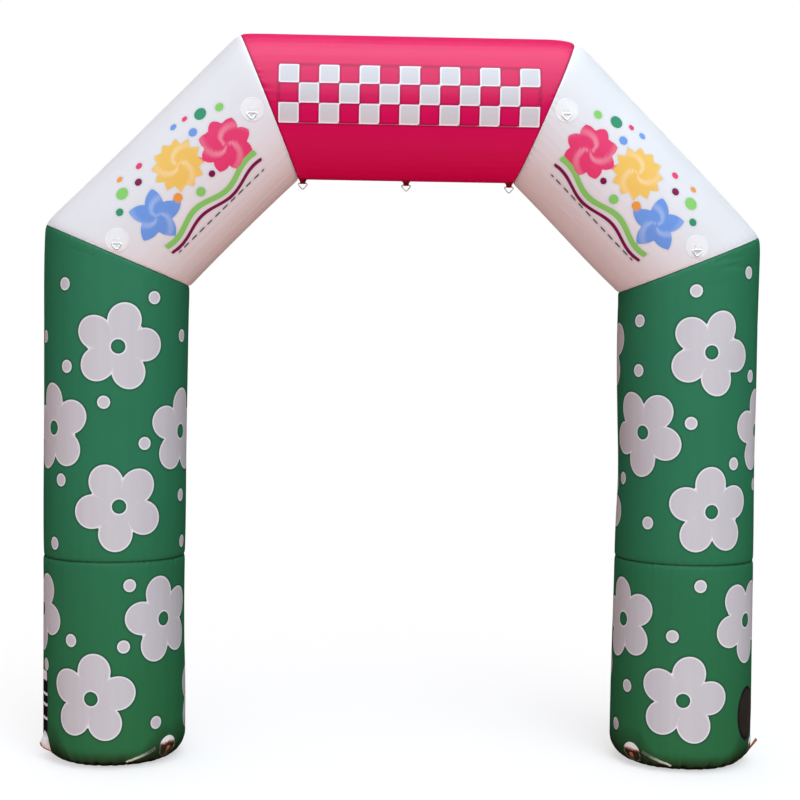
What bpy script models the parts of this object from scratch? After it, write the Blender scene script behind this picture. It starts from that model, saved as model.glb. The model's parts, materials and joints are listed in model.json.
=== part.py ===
"""An inflatable arch: two round legs, two mitred shoulders and a beam, with its sewn fittings.

The arch stands on the floor at z = 0. X runs along the beam, +X to the right leg, and the
front faces -Y. Every inflated section is a filled solid of its blown-up shape. Directions
around a tube are azimuths: 0 is the front, and +90 degrees is the side away from the opening.
"""
import math

import bmesh
import bpy
from mathutils import Vector

# Driving dimensions, in metres
LEG_X = 2.056             # centre of each leg from the middle of the arch
MITRE_Z = 3.585           # height where the leg's axis meets the shoulder's
BEAM_Z = 4.664            # height of the beam's axis
BEAM_HALF = 0.988         # half the beam's length, between the mitres on its axis
SHOULDER_R = 0.507        # blown-up radius of the shoulders
BEAM_R = 0.510            # blown-up radius of the beam
LEG_SEAM_Z = {"left": 1.443, "right": 1.463}   # cross seam of each leg
BASE_SEAM_Z = 0.035       # seam between the leg and its dark base panel
FOOT_ROUND = 0.160        # rounding of the foot's lower edge
SIDES = 48                # facets around a tube
GAP = 0.0004              # between two pieces sewn edge to edge
SKIN_LIFT = 0.0009        # a patch's underside above the tube
CLEAR = 0.0004            # between stacked pieces of webbing

# Radius of each leg by height: pumped-up girth is uneven, and the right leg has a waist
LEG_GIRTH = {             # (height, radius)
    "left": ((0.16, 0.503), (0.47, 0.503), (0.90, 0.498), (1.33, 0.498), (1.62, 0.5025),
             (2.40, 0.504), (2.90, 0.508), (3.38, 0.511)),
    "right": ((0.16, 0.505), (0.52, 0.505), (0.90, 0.501), (1.33, 0.497), (1.62, 0.495),
              (2.15, 0.486), (2.62, 0.494), (3.00, 0.499), (3.38, 0.502)),
}
# The legs aren't quite straight: shift of their centre away from the opening
LEG_SWAY = {              # (height, shift)
    "left": ((0.16, -0.010), (0.47, -0.008), (0.90, -0.001), (1.33, 0.002), (2.90, 0.003),
             (3.38, 0.002), (3.50, 0.0)),
    "right": ((0.16, 0.0), (0.90, 0.001), (1.33, 0.003), (1.62, 0.003), (2.15, 0.006),
              (2.62, 0.001), (3.00, -0.004), (3.38, -0.002), (3.50, 0.0)),
}
# Cloth draws in beside a sewn seam
SEAM_DRAW = ((0.0, 0.009), (0.015, 0.003), (0.08, 0.0))        # (distance, inset)
# The outer corner of a mitre is rounded off by the pressure
CORNER_FADE = ((0.0, 1.0), (0.015, 0.8), (0.08, 0.18), (0.16, 0.0))   # (distance, share)
CORNER_INSET = {          # inset at the corner, unlike on each side
    "left": {"low": 0.006, "high": 0.006},
    "right": {"low": 0.008, "high": 0.030},
}

# Fittings
PATCH_R = 0.082           # round reinforcing patch
PATCH_T = 0.0015
WEB_T = 0.0018            # one layer of webbing
TAB_W = 0.040
RING_WIRE = 0.0035        # radius of the ring's wire
RING_HALF = 0.0310        # half the ring's width, on the wire's centre line
RING_DROP = 0.0415        # from the bar's centre line down to the wire's at the bottom
RING_CORNER = 0.008
RING_FOOT = 0.012
RING_STEPS = 24
WIRE_SIDES = 6
BEAM_TAB_X = 0.742
BEAM_TAB_DROP = 0.031     # from the beam down to the ring's bar
BEAM_EAR = 0.030          # sewn end of a beam tab, each way
SHOULDER_TAB_UP = 0.034   # sewn part of a shoulder tab, above the ring's bar
SHOULDER_BAR_DOWN = 0.022  # bar below the patch's centre

SHOULDER_PATCHES = (      # (side, end, distance from that end's mitre, azimuth in degrees)
    ("left", "low", 0.100, 0.0),
    ("left", "high", 0.134, -1.0),
    ("right", "low", 0.104, 3.0),
    ("right", "high", 0.113, 2.0),
)
FOOT_PATCHES = (          # (side, place, azimuth in degrees, distance below the rounding's top)
    ("left", "inner", -56.0, 0.042),
    ("left", "outer", 65.0, 0.036),
    ("right", "inner", -54.0, 0.064),
    ("right", "outer", 70.0, 0.040),
)
FOOT_TAB_W = 0.032
FOOT_TAB_UP = 0.010                # a hanging tab's top, above its patch's centre
FOOT_TAB_END = 0.128               # and its lower end, below the rounding's top
STAND_TAB_FOOT = (0.100, 0.060)    # sewn stretch of the tab that stands out
STAND_TAB_REACH = 0.096
STAND_TAB_ANGLE = 56.0             # degrees above the floor
FOOT_STRAP_W = 0.024
FOOT_STRAP_FROM = (-19.0, 0.126)   # azimuth in degrees, distance below the rounding's top
FOOT_STRAP_TO = (-43.0, 0.030)

INLET_AZIMUTH = 54.0      # mesh window of the built-in blower, right leg
INLET_Z = 0.395
INLET_MESH_R = 0.170      # half its height
INLET_NARROW = 0.66       # its width over its height
INLET_RIM_R = 0.192
INLET_RIM_T = 0.003
ZIP_AZIMUTH = 63.5        # deflation zip, left leg
ZIP_W = 0.086
ZIP_FROM_Z = 0.215
ZIP_TO_Z = 0.635
ZIP_T = 0.002

# Colours (linear), roughness, metallic
MATERIALS = {
    "leg_green": ((0.026, 0.170, 0.080, 1.0), 0.50, 0.0),
    "shoulder_white": ((0.78, 0.76, 0.79, 1.0), 0.50, 0.0),
    "beam_crimson": ((0.620, 0.003, 0.045, 1.0), 0.48, 0.0),
    "base_black": ((0.012, 0.014, 0.010, 1.0), 0.65, 0.0),
    "web_red": ((0.250, 0.002, 0.012, 1.0), 0.75, 0.0),
    "web_white": ((0.84, 0.83, 0.83, 1.0), 0.75, 0.0),
    "web_orange": ((0.520, 0.130, 0.045, 1.0), 0.75, 0.0),
    "ring_steel": ((0.55, 0.56, 0.57, 1.0), 0.28, 1.0),
    "mesh_black": ((0.006, 0.005, 0.007, 1.0), 0.80, 0.0),
}

SIGN = {"left": -1.0, "right": 1.0}


def interpolate(rows, x):
    """Reads a short table of (place, value) rows, straight between them and level past its ends."""
    if x <= rows[0][0]:
        return rows[0][1]
    for (x0, y0), (x1, y1) in zip(rows, rows[1:]):
        if x <= x1:
            return y0 + (y1 - y0) * (x - x0) / (x1 - x0)
    return rows[-1][1]


class Tube:
    """A blown-up section between two seams, each in a plane square to the arch's own plane."""

    def __init__(self, start, end, outward, normals, girth, corners, stations, sway=((0.0, 0.0),)):
        self.start = Vector(start)
        self.axis = Vector(end) - self.start
        self.length = self.axis.length
        self.axis.normalize()
        self.outward = Vector(outward).normalized()
        self.normals = [Vector(n).normalized() for n in normals]
        self.girth = girth            # (distance from the start, radius)
        self.corners = corners        # inset at the outer corner of the two ends
        self.stations = stations      # distances from the start
        self.sway = sway              # (distance from the start, shift of the centre outward)

    def direction(self, azimuth):
        return Vector((0.0, -math.cos(azimuth), 0.0)) + self.outward * math.sin(azimuth)

    def radius(self, azimuth, place):
        radius = interpolate(self.girth, place)
        bulge = max(0.0, math.sin(azimuth)) ** 2
        for end, away in enumerate((place, self.length - place)):
            radius -= interpolate(SEAM_DRAW, away)
            radius -= self.corners[end] * bulge * interpolate(CORNER_FADE, away)
        return radius

    def end_offset(self, azimuth, end):
        """How far along the axis this azimuth's line meets the seam's plane, from the axis's own end."""
        reach = self.radius(azimuth, self.length if end else 0.0)
        normal = self.normals[end]
        return -reach * self.direction(azimuth).dot(normal) / self.axis.dot(normal)

    def point(self, azimuth, place, lift=0.0):
        """A point of the skin: place is 0 at one seam and the length at the other, whatever the mitre."""
        share = place / self.length
        along = (self.end_offset(azimuth, 0) * (1 - share) + place
                 + self.end_offset(azimuth, 1) * share)
        out = self.radius(azimuth, place) + lift
        shift = self.outward * interpolate(self.sway, place)
        return self.start + self.axis * along + self.direction(azimuth) * out + shift

    def place_of(self, azimuth, along):
        """The place on this azimuth's line that lies at a distance along the axis."""
        low = self.end_offset(azimuth, 0)
        high = self.length + self.end_offset(azimuth, 1)
        return self.length * (along - low) / (high - low)


def make_material(name):
    colour, roughness, metallic = MATERIALS[name]
    material = bpy.data.materials.new(name)
    material.use_nodes = True
    shader = material.node_tree.nodes["Principled BSDF"]
    shader.inputs["Base Color"].default_value = colour
    shader.inputs["Roughness"].default_value = roughness
    shader.inputs["Metallic"].default_value = metallic
    material.diffuse_color = colour
    return material


def add_object(name, bm, material, smooth_angle=35.0):
    """Turns a bmesh into a named object with outward faces and its own material."""
    bmesh.ops.recalc_face_normals(bm, faces=bm.faces)
    mesh = bpy.data.meshes.new(name)
    bm.to_mesh(mesh)
    bm.free()
    mesh.shade_smooth()
    mesh.set_sharp_from_angle(angle=math.radians(smooth_angle))
    mesh.materials.append(MADE[material])
    item = bpy.data.objects.new(name, mesh)
    bpy.context.collection.objects.link(item)
    return item


def loft(name, rings, material, closed=False):
    """Skins a stack of rings of points; the ends are capped, or joined to each other if closed."""
    bm = bmesh.new()
    stack = [[bm.verts.new(point) for point in ring] for ring in rings]
    pairs = list(zip(stack, stack[1:]))
    if closed:
        pairs.append((stack[-1], stack[0]))
    for lower, upper in pairs:
        for i in range(len(lower)):
            j = (i + 1) % len(lower)
            bm.faces.new((lower[i], lower[j], upper[j], upper[i]))
    if not closed:
        bm.faces.new(stack[0])
        bm.faces.new(stack[-1])
    return add_object(name, bm, material)


def tube_piece(name, tube, material):
    turns = [math.tau * i / SIDES for i in range(SIDES)]
    rings = [[tube.point(a, place) for a in turns] for place in tube.stations]
    return loft(name, rings, material)


def narrowed(skin, middle, share):
    """The same surface, with what is laid on it drawn in across towards a middle line."""
    return lambda across, along, lift: skin(middle + (across - middle) * share, along, lift)


def disc_piece(name, skin, centre, radius, thickness, material, segments=16, circles=2):
    """A round patch laid on a skin: skin(across, along, lift) gives the points of the surface."""
    bm = bmesh.new()
    layers = []
    for lift in (SKIN_LIFT, SKIN_LIFT + thickness):
        middle = bm.verts.new(skin(centre[0], centre[1], lift))
        rings = []
        for k in range(1, circles + 1):
            r = radius * k / circles
            turns = [math.tau * i / segments for i in range(segments)]
            rings.append([bm.verts.new(skin(centre[0] + r * math.cos(t), centre[1] + r * math.sin(t), lift))
                          for t in turns])
        layers.append((middle, rings))
    for middle, rings in layers:
        for i in range(segments):
            j = (i + 1) % segments
            bm.faces.new((middle, rings[0][i], rings[0][j]))
            for inner, outer in zip(rings, rings[1:]):
                bm.faces.new((inner[i], outer[i], outer[j], inner[j]))
    below, above = layers[0][1][-1], layers[1][1][-1]
    for i in range(segments):
        j = (i + 1) % segments
        bm.faces.new((below[i], below[j], above[j], above[i]))
    return add_object(name, bm, material)


def rim_piece(name, skin, centre, inner, outer, thickness, material, segments=32):
    """A flat ring laid on a skin."""
    corners = ((inner, SKIN_LIFT), (outer, SKIN_LIFT), (outer, SKIN_LIFT + thickness),
               (inner, SKIN_LIFT + thickness))
    rings = []
    for i in range(segments):
        t = math.tau * i / segments
        rings.append([skin(centre[0] + r * math.cos(t), centre[1] + r * math.sin(t), lift)
                      for r, lift in corners])
    return loft(name, rings, material, closed=True)


def strip_piece(name, skin, start, end, width, thickness, material, steps=8):
    """A straight strip laid on a skin, between two places given as (across, along)."""
    run = Vector((end[0] - start[0], end[1] - start[1]))
    side = Vector((-run.y, run.x)).normalized() * (width / 2)
    rings = []
    for k in range(steps + 1):
        x = start[0] + run.x * k / steps
        y = start[1] + run.y * k / steps
        rings.append([skin(x + side.x * s, y + side.y * s, lift)
                      for s, lift in ((-1, SKIN_LIFT), (0, SKIN_LIFT), (1, SKIN_LIFT),
                                      (1, SKIN_LIFT + thickness), (0, SKIN_LIFT + thickness),
                                      (-1, SKIN_LIFT + thickness))])
    return loft(name, rings, material)


def plate_piece(name, outline, hole, place, across, width, material):
    """Extrudes a flat outline, with an optional hole, along the direction across."""
    bm = bmesh.new()
    edges = []
    for loop in (outline, hole):
        verts = [bm.verts.new(place(u, v) - across * (width / 2)) for u, v in loop]
        edges += [bm.edges.new((a, b)) for a, b in zip(verts, verts[1:] + verts[:1])] if verts else []
    filled = bmesh.ops.triangle_fill(bm, edges=edges, use_beauty=True)
    faces = [item for item in filled["geom"] if isinstance(item, bmesh.types.BMFace)]
    pushed = bmesh.ops.extrude_face_region(bm, geom=faces, use_keep_orig=True)
    moved = [item for item in pushed["geom"] if isinstance(item, bmesh.types.BMVert)]
    bmesh.ops.translate(bm, verts=moved, vec=across * width)
    return add_object(name, bm, material)


def arc(centre, radius, start, end, steps):
    """Points on an arc, from one angle to another in degrees."""
    turns = [math.radians(start + (end - start) * k / steps) for k in range(steps + 1)]
    return [(centre[0] + radius * math.cos(t), centre[1] + radius * math.sin(t)) for t in turns]


def ring_piece(name, bar):
    """A wire ring, a rounded triangle hanging from its straight bar: the hull of three circles."""
    circles = ((RING_HALF - RING_CORNER, -RING_CORNER, RING_CORNER),
               (RING_CORNER - RING_HALF, -RING_CORNER, RING_CORNER),
               (0.0, RING_FOOT - RING_DROP, RING_FOOT))      # (x, z, radius)
    rings = []
    for k in range(RING_STEPS):
        t = math.tau * (k + 0.5) / RING_STEPS
        out = Vector((math.cos(t), 0.0, math.sin(t)))
        x, z, r = max(circles, key=lambda c: c[0] * out.x + c[1] * out.z + c[2])
        centre = bar + Vector((x, 0.0, z)) + out * r
        turns = [math.tau * i / WIRE_SIDES for i in range(WIRE_SIDES)]
        rings.append([centre + (out * math.cos(a) + Vector((0, 1, 0)) * math.sin(a)) * RING_WIRE
                      for a in turns])
    return loft(name, rings, "ring_steel", closed=True)


LOOP_IN = RING_WIRE + CLEAR       # inside of the webbing's loop round the bar
LOOP_OUT = LOOP_IN + WEB_T


def beam_tab(name, x, seat):
    """Webbing folded round a ring's bar, its two ends spread and sewn under the beam."""
    bar_z = BEAM_Z - seat - BEAM_TAB_DROP
    top = BEAM_Z - seat - SKIN_LIFT

    def under(y, layer):
        return (y, top - layer + seat * (1 - math.cos(y / seat)))

    ears = [under(BEAM_EAR * k / 3, 0.0) for k in (3, 2, 1, 0, -1, -2, -3)]
    stem = WEB_T
    meet = -math.degrees(math.asin(stem / LOOP_OUT))
    left = [under(-BEAM_EAR, WEB_T), under(-0.010, WEB_T), (-0.004, top - WEB_T - 0.001),
            (-stem, top - WEB_T - 0.005)]
    loop = arc((0.0, bar_z), LOOP_OUT, 90 - meet, 450 + meet, 14)
    right = [(-u, v) for u, v in reversed(left)]
    hole = arc((0.0, bar_z), LOOP_IN, 0, 330, 11)
    plate_piece(name, ears + left + loop + right, hole, lambda u, v: Vector((x, u, v)),
                Vector((1, 0, 0)), TAB_W, "web_red")
    return Vector((x, 0.0, bar_z))


def shoulder_tab(name, centre, front):
    """Webbing folded round a ring's bar, its doubled end sewn flat on a patch."""
    bar = Vector((centre.x, front - LOOP_OUT, centre.z - SHOULDER_BAR_DOWN))
    top = SHOULDER_TAB_UP
    depth = 2 * WEB_T
    meet = math.degrees(math.acos((LOOP_OUT - depth) / LOOP_OUT))
    outline = ([(front, bar.z + top), (front - depth, bar.z + top)]
               + arc((bar.y, bar.z), LOOP_OUT, meet, 360, 14))
    hole = arc((bar.y, bar.z), LOOP_IN, 0, 330, 11)
    plate_piece(name, outline, hole, lambda u, v: Vector((bar.x, u, v)),
                Vector((1, 0, 0)), TAB_W, "web_white")
    return bar


def foot_tab(name, side, azimuth, down, stands):
    """Doubled webbing sewn on a foot patch: it lies down the rounding, or stands out from it."""
    middle = leg_centre(side, 0.0)
    out = Vector((SIGN[side] * math.sin(azimuth), -math.cos(azimuth), 0.0))
    across = Vector((SIGN[side] * math.cos(azimuth), math.sin(azimuth), 0.0))
    lift = SKIN_LIFT + PATCH_T + CLEAR + 0.0003
    first, last = STAND_TAB_FOOT if stands else (down - FOOT_TAB_UP, FOOT_TAB_END)
    steps = 2 if stands else 5
    downs = [first + (last - first) * k / steps for k in range(steps + 1)]
    inner = [foot_profile(side, down, lift) for down in downs]
    outer = [foot_profile(side, down, lift + 2 * WEB_T) for down in downs]
    if stands:
        reach = Vector((math.cos(math.radians(STAND_TAB_ANGLE)), math.sin(math.radians(STAND_TAB_ANGLE))))
        inner.append(tuple(Vector(inner[-1]) + reach * STAND_TAB_REACH))
        outer.append(tuple(Vector(outer[-1]) + reach * STAND_TAB_REACH))
    plate_piece(name, inner + outer[::-1], [], lambda u, v: middle + out * u + Vector((0, 0, v)),
                across, FOOT_TAB_W, "web_orange")


def leg_centre(side, height):
    """Centre of a leg at a height."""
    return Vector((SIGN[side] * (LEG_X + interpolate(LEG_SWAY[side], height)), 0.0, height))


def foot_profile(side, down, lift):
    """(radius, height) of a foot's skin, by the distance down from the top of its rounding."""
    height = FOOT_ROUND - down
    if down <= 0:
        return interpolate(LEG_GIRTH[side], height) + lift, height
    turn = down / FOOT_ROUND
    radius = LEG_GIRTH[side][0][1] - FOOT_ROUND * (1 - math.cos(turn)) + lift * math.cos(turn)
    return radius, FOOT_ROUND - (FOOT_ROUND + lift) * math.sin(turn)


def foot_skin(side):
    """The leg's lower skin: across is the distance round the leg, along the distance down."""
    def skin(across, along, lift):
        azimuth = across / LEG_GIRTH[side][0][1]
        radius, height = foot_profile(side, along, lift)
        return leg_centre(side, height) + Vector((SIGN[side] * radius * math.sin(azimuth),
                                                  -radius * math.cos(azimuth), 0.0))
    return skin


def tube_skin(tube):
    """A tube's skin: across is the distance round it, along the distance along its axis."""
    def skin(across, along, lift):
        azimuth = across / SHOULDER_R
        return tube.point(azimuth, tube.place_of(azimuth, along), lift)
    return skin


def round_leg(side, azimuth):
    """Distance round the leg of an azimuth in degrees."""
    return math.radians(azimuth) * LEG_GIRTH[side][0][1]


def seam_stations(length, middle):
    """Places of a section's rings: close beside its seams, and those given in between."""
    near = [distance for distance, share in CORNER_FADE]
    far = [length - distance for distance in reversed(near)]
    return near + [place for place in middle if near[-1] + 0.05 < place < far[0] - 0.05] + far


def build_leg(side, mitre):
    """Base panel, lower and upper leg of one side."""
    sign = SIGN[side]
    seam = LEG_SEAM_Z[side]
    girth = LEG_GIRTH[side]
    foot_r = girth[0][1]
    seam_turn = math.asin((FOOT_ROUND - BASE_SEAM_Z) / FOOT_ROUND)
    turns = [math.tau * i / SIDES for i in range(SIDES)]

    def ring(radius, height):
        centre = leg_centre(side, height)
        return [centre + Vector((radius * math.sin(t), -radius * math.cos(t), 0.0)) for t in turns]

    def rounding(turn, rise=0.0):
        return (foot_r - FOOT_ROUND * (1 - math.cos(turn)), FOOT_ROUND * (1 - math.sin(turn)) + rise)

    steps = 3
    base = [rounding(math.pi / 2 + (seam_turn - math.pi / 2) * k / steps) for k in range(steps + 1)]
    base[-1] = (base[-1][0], base[-1][1] - GAP)
    loft(f"base_{side}", [ring(*row) for row in base], "base_black")

    foot = [rounding(seam_turn * (1 - k / 4)) for k in range(5)]
    draw = [(seam - GAP / 2 - d, -inset) for d, inset in reversed(SEAM_DRAW)]
    rows = foot + [(r, z) for z, r in girth if FOOT_ROUND < z < seam - 0.1]
    rows += [(interpolate(girth, z) + inset, z) for z, inset in draw]
    loft(f"leg_lower_{side}", [ring(*row) for row in rows], "leg_green")

    start = seam + GAP / 2
    length = MITRE_Z - GAP / 2 - start
    upper = Tube((sign * LEG_X, 0, start), (sign * LEG_X, 0, start + length), (sign, 0, 0),
                 ((0, 0, 1), mitre), [(z - start, r) for z, r in girth],
                 (0.0, CORNER_INSET[side]["low"]),
                 seam_stations(length, [z - start for z, r in girth]),
                 [(z - start, shift) for z, shift in LEG_SWAY[side]])
    tube_piece(f"leg_upper_{side}", upper, "leg_green")


def build_shoulder(side, low_mitre, high_mitre):
    sign = SIGN[side]
    low = Vector((sign * LEG_X, 0, MITRE_Z))
    high = Vector((sign * BEAM_HALF, 0, BEAM_Z))
    axis = (high - low).normalized()
    start, end = low + axis * (GAP / 2), high - axis * (GAP / 2)
    length = (end - start).length
    leg_end = LEG_GIRTH[side][-1][1]
    girth = ((0.0, leg_end), (0.25, SHOULDER_R), (length - 0.25, SHOULDER_R), (length, BEAM_R))
    corners = CORNER_INSET[side]
    tube = Tube(start, end, (axis.z * sign, 0, -axis.x * sign), (low_mitre, high_mitre),
                girth, (corners["low"], corners["high"]),
                seam_stations(length, [length / 2]))
    tube_piece(f"shoulder_{side}", tube, "shoulder_white")
    return tube


def build_beam(left_mitre, right_mitre):
    half = BEAM_HALF - GAP / 2
    length = 2 * half
    beam = Tube((-half, 0, BEAM_Z), (half, 0, BEAM_Z), (0, 0, 1), (left_mitre, right_mitre),
                ((0.0, BEAM_R), (length, BEAM_R)),
                (CORNER_INSET["left"]["high"], CORNER_INSET["right"]["high"]),
                seam_stations(length, [length / 2]))
    tube_piece("beam", beam, "beam_crimson")
    return beam


def build_beam_fittings(beam):
    for place, x in (("left", -BEAM_TAB_X), ("middle", 0.0), ("right", BEAM_TAB_X)):
        inner_edge = max(abs(x) - TAB_W / 2, 0.0)
        down = -math.pi / 2
        seat = beam.radius(down, beam.place_of(down, inner_edge + beam.length / 2))
        bar = beam_tab(f"beam_tab_{place}", x, seat)
        ring_piece(f"beam_ring_{place}", bar)


def build_shoulder_fittings(tubes):
    for side, end, distance, azimuth in SHOULDER_PATCHES:
        tube = tubes[side]
        skin = tube_skin(tube)
        along = distance if end == "low" else tube.length - distance
        across = math.radians(azimuth) * SHOULDER_R
        disc_piece(f"shoulder_patch_{side}_{end}", skin, (across, along), PATCH_R, PATCH_T, "web_white")
        crest = min(skin(0.0, along + step, SKIN_LIFT + PATCH_T).y for step in (-TAB_W / 2, 0.0, TAB_W / 2))
        front = crest - CLEAR
        bar = shoulder_tab(f"shoulder_tab_{side}_{end}", skin(across, along, 0.0), front)
        ring_piece(f"shoulder_ring_{side}_{end}", bar)


def build_foot_fittings():
    for side, place, azimuth, down in FOOT_PATCHES:
        centre = (round_leg(side, azimuth), down)
        disc_piece(f"foot_patch_{side}_{place}", foot_skin(side), centre, PATCH_R, PATCH_T,
                   "web_white", segments=20, circles=4)
        foot_tab(f"foot_tab_{side}_{place}", side, math.radians(azimuth), down,
                 stands=(side, place) == ("right", "outer"))
    for side in ("left", "right"):
        strip_piece(f"foot_strap_{side}", foot_skin(side),
                    (round_leg(side, FOOT_STRAP_FROM[0]), FOOT_STRAP_FROM[1]),
                    (round_leg(side, FOOT_STRAP_TO[0]), FOOT_STRAP_TO[1]),
                    FOOT_STRAP_W, PATCH_T, "web_white")


def build_inlet():
    """Mesh window of the blower in the right leg, with its sewn rim."""
    centre = (round_leg("right", INLET_AZIMUTH), FOOT_ROUND - INLET_Z)
    window = narrowed(foot_skin("right"), centre[0], INLET_NARROW)
    disc_piece("inlet_mesh", window, centre, INLET_MESH_R, PATCH_T, "mesh_black",
               segments=32, circles=4)
    rim_piece("inlet_rim", window, centre, INLET_MESH_R + CLEAR, INLET_RIM_R,
              INLET_RIM_T, "base_black")


def build_zip():
    """Deflation zip up the left leg's outer side."""
    across = round_leg("left", ZIP_AZIMUTH)
    strip_piece("deflation_zip", foot_skin("left"), (across, FOOT_ROUND - ZIP_FROM_Z),
                (across, FOOT_ROUND - ZIP_TO_Z), ZIP_W, ZIP_T, "mesh_black", steps=10)


for item in list(bpy.data.objects):
    bpy.data.objects.remove(item, do_unlink=True)
MADE = {name: make_material(name) for name in MATERIALS}

shoulder_run = Vector((LEG_X - BEAM_HALF, 0, BEAM_Z - MITRE_Z)).normalized()
mitres = {}
for name, mirror in (("left", 1.0), ("right", -1.0)):
    run = Vector((shoulder_run.x * mirror, 0, shoulder_run.z))
    mitres[name] = ((run + Vector((0, 0, 1))).normalized(), (run + Vector((mirror, 0, 0))).normalized())

shoulders = {}
for side_name in ("left", "right"):
    build_leg(side_name, mitres[side_name][0])
    shoulders[side_name] = build_shoulder(side_name, *mitres[side_name])
beam_tube = build_beam(mitres["left"][1], mitres["right"][1])
build_beam_fittings(beam_tube)
build_shoulder_fittings(shoulders)
build_foot_fittings()
build_inlet()
build_zip()
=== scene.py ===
"""Looks of an inflatable arch: blown-up cloth sections with their prints, seams and sewn fittings.

X runs along the beam, +X to the right leg, the front faces -Y and the floor is z = 0, in metres.
Round a section, turn 0 is the front and +90 degrees is the side away from the opening.
"""
import json
import math

import bmesh
import bpy
import numpy as np
from bpy.props import FloatProperty, FloatVectorProperty, IntProperty, PointerProperty
from mathutils import Matrix, Vector

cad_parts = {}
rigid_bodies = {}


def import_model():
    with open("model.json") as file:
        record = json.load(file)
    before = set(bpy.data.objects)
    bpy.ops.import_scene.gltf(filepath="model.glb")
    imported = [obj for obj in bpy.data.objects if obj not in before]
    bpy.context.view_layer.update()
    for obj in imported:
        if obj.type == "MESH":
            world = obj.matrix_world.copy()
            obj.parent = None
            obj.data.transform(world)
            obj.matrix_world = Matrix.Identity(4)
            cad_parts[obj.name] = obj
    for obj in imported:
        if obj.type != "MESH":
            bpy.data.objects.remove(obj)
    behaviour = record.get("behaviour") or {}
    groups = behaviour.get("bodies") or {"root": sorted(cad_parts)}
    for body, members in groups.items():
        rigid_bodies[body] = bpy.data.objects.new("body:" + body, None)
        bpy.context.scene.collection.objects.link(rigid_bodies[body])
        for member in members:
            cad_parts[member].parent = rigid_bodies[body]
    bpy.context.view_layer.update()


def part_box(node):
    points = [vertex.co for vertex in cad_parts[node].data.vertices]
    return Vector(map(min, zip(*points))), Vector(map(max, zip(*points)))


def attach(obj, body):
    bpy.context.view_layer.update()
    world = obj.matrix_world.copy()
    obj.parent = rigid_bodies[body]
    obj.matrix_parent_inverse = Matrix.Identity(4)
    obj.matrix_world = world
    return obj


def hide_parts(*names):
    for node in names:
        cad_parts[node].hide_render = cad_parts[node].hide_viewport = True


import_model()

bl_info = {
    "name": "Inflatable arch looks",
    "version": (1, 0, 0),
    "blender": (4, 5, 0),
    "location": "3D View > Sidebar > Arch",
    "description": "Cloth, prints, seams and fittings of an inflatable arch",
    "category": "Object",
}

# Sizes of the arch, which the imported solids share
LEG_X = 2.056             # centre of each leg
MITRE_Z = 3.585           # where a leg's axis meets the shoulder's
BEAM_Z = 4.664            # height of the beam's axis
BEAM_HALF = 0.988         # half the beam between its mitres
SHOULDER_R = 0.507
BEAM_R = 0.510
FOOT_ROUND = 0.160        # rounding of a foot's lower edge
BASE_SEAM = 0.0165        # leg place of the seam above the base panel
BASE_FLAT = -0.0913       # leg place where the rounding meets the flat bottom
GAP = 0.0004              # between two sections sewn edge to edge
SKIN_LIFT = 0.0009        # a patch's underside above the cloth
CLEAR = 0.0004            # between stacked pieces
LEG_SEAM_Z = {"left": 1.443, "right": 1.463}
LEG_GIRTH = {             # (height, radius)
    "left": ((0.16, 0.503), (0.47, 0.503), (0.90, 0.498), (1.33, 0.498), (1.62, 0.5025),
             (2.40, 0.504), (2.90, 0.508), (3.38, 0.511)),
    "right": ((0.16, 0.505), (0.52, 0.505), (0.90, 0.501), (1.33, 0.497), (1.62, 0.495),
              (2.15, 0.486), (2.62, 0.494), (3.00, 0.499), (3.38, 0.502)),
}
LEG_SWAY = {              # (height, shift of the leg's centre away from the opening)
    "left": ((0.16, -0.010), (0.47, -0.008), (0.90, -0.001), (1.33, 0.002), (2.90, 0.003),
             (3.38, 0.002), (3.50, 0.0)),
    "right": ((0.16, 0.0), (0.90, 0.001), (1.33, 0.003), (1.62, 0.003), (2.15, 0.006),
              (2.62, 0.001), (3.00, -0.004), (3.38, -0.002), (3.50, 0.0)),
}
CORNER_INSET = {          # rounding of a mitre's outer corner, at a shoulder's two ends
    "left": {"low": 0.006, "high": 0.006},
    "right": {"low": 0.008, "high": 0.030},
}
FOOT_FOLDS = {            # gathers above the base seam: (turn in degrees, reach up, depth, half width)
    "left": ((35, 0.125, 0.0125, 0.014), (8, 0.115, 0.0102, 0.013), (-5, 0.085, 0.0068, 0.012),
             (-21, 0.070, 0.0068, 0.013), (62, 0.100, 0.0102, 0.016), (-62, 0.120, 0.0119, 0.016),
             (104, 0.090, 0.0085, 0.013), (131, 0.120, 0.0119, 0.014), (168, 0.080, 0.0085, 0.013),
             (-96, 0.100, 0.0102, 0.014), (-128, 0.080, 0.0085, 0.013), (-157, 0.115, 0.0102, 0.014)),
    "right": ((-9, 0.120, 0.0119, 0.016), (-27, 0.080, 0.0068, 0.012), (15, 0.075, 0.0068, 0.013),
              (33, 0.110, 0.0102, 0.014), (-66, 0.125, 0.0125, 0.016), (57, 0.090, 0.0085, 0.013),
              (88, 0.110, 0.0102, 0.014), (119, 0.080, 0.0085, 0.013), (150, 0.115, 0.0119, 0.014),
              (-104, 0.085, 0.0085, 0.013), (-137, 0.115, 0.0102, 0.014), (178, 0.090, 0.0085, 0.013)),
}
LOWER_CREASES = {         # soft troughs: (turn, place, half length, half width, depth, slope)
    "left": ((10, 1.395, 0.34, 0.010, 0.0012, 0.02), (-40, 1.40, 0.20, 0.009, 0.0010, -0.03)),
    "right": ((-30, 1.425, 0.30, 0.009, 0.0012, -0.02), (25, 1.40, 0.30, 0.012, 0.0012, 0.03),
              (-12, 1.33, 0.22, 0.014, 0.0008, 0.06)),
}
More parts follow.
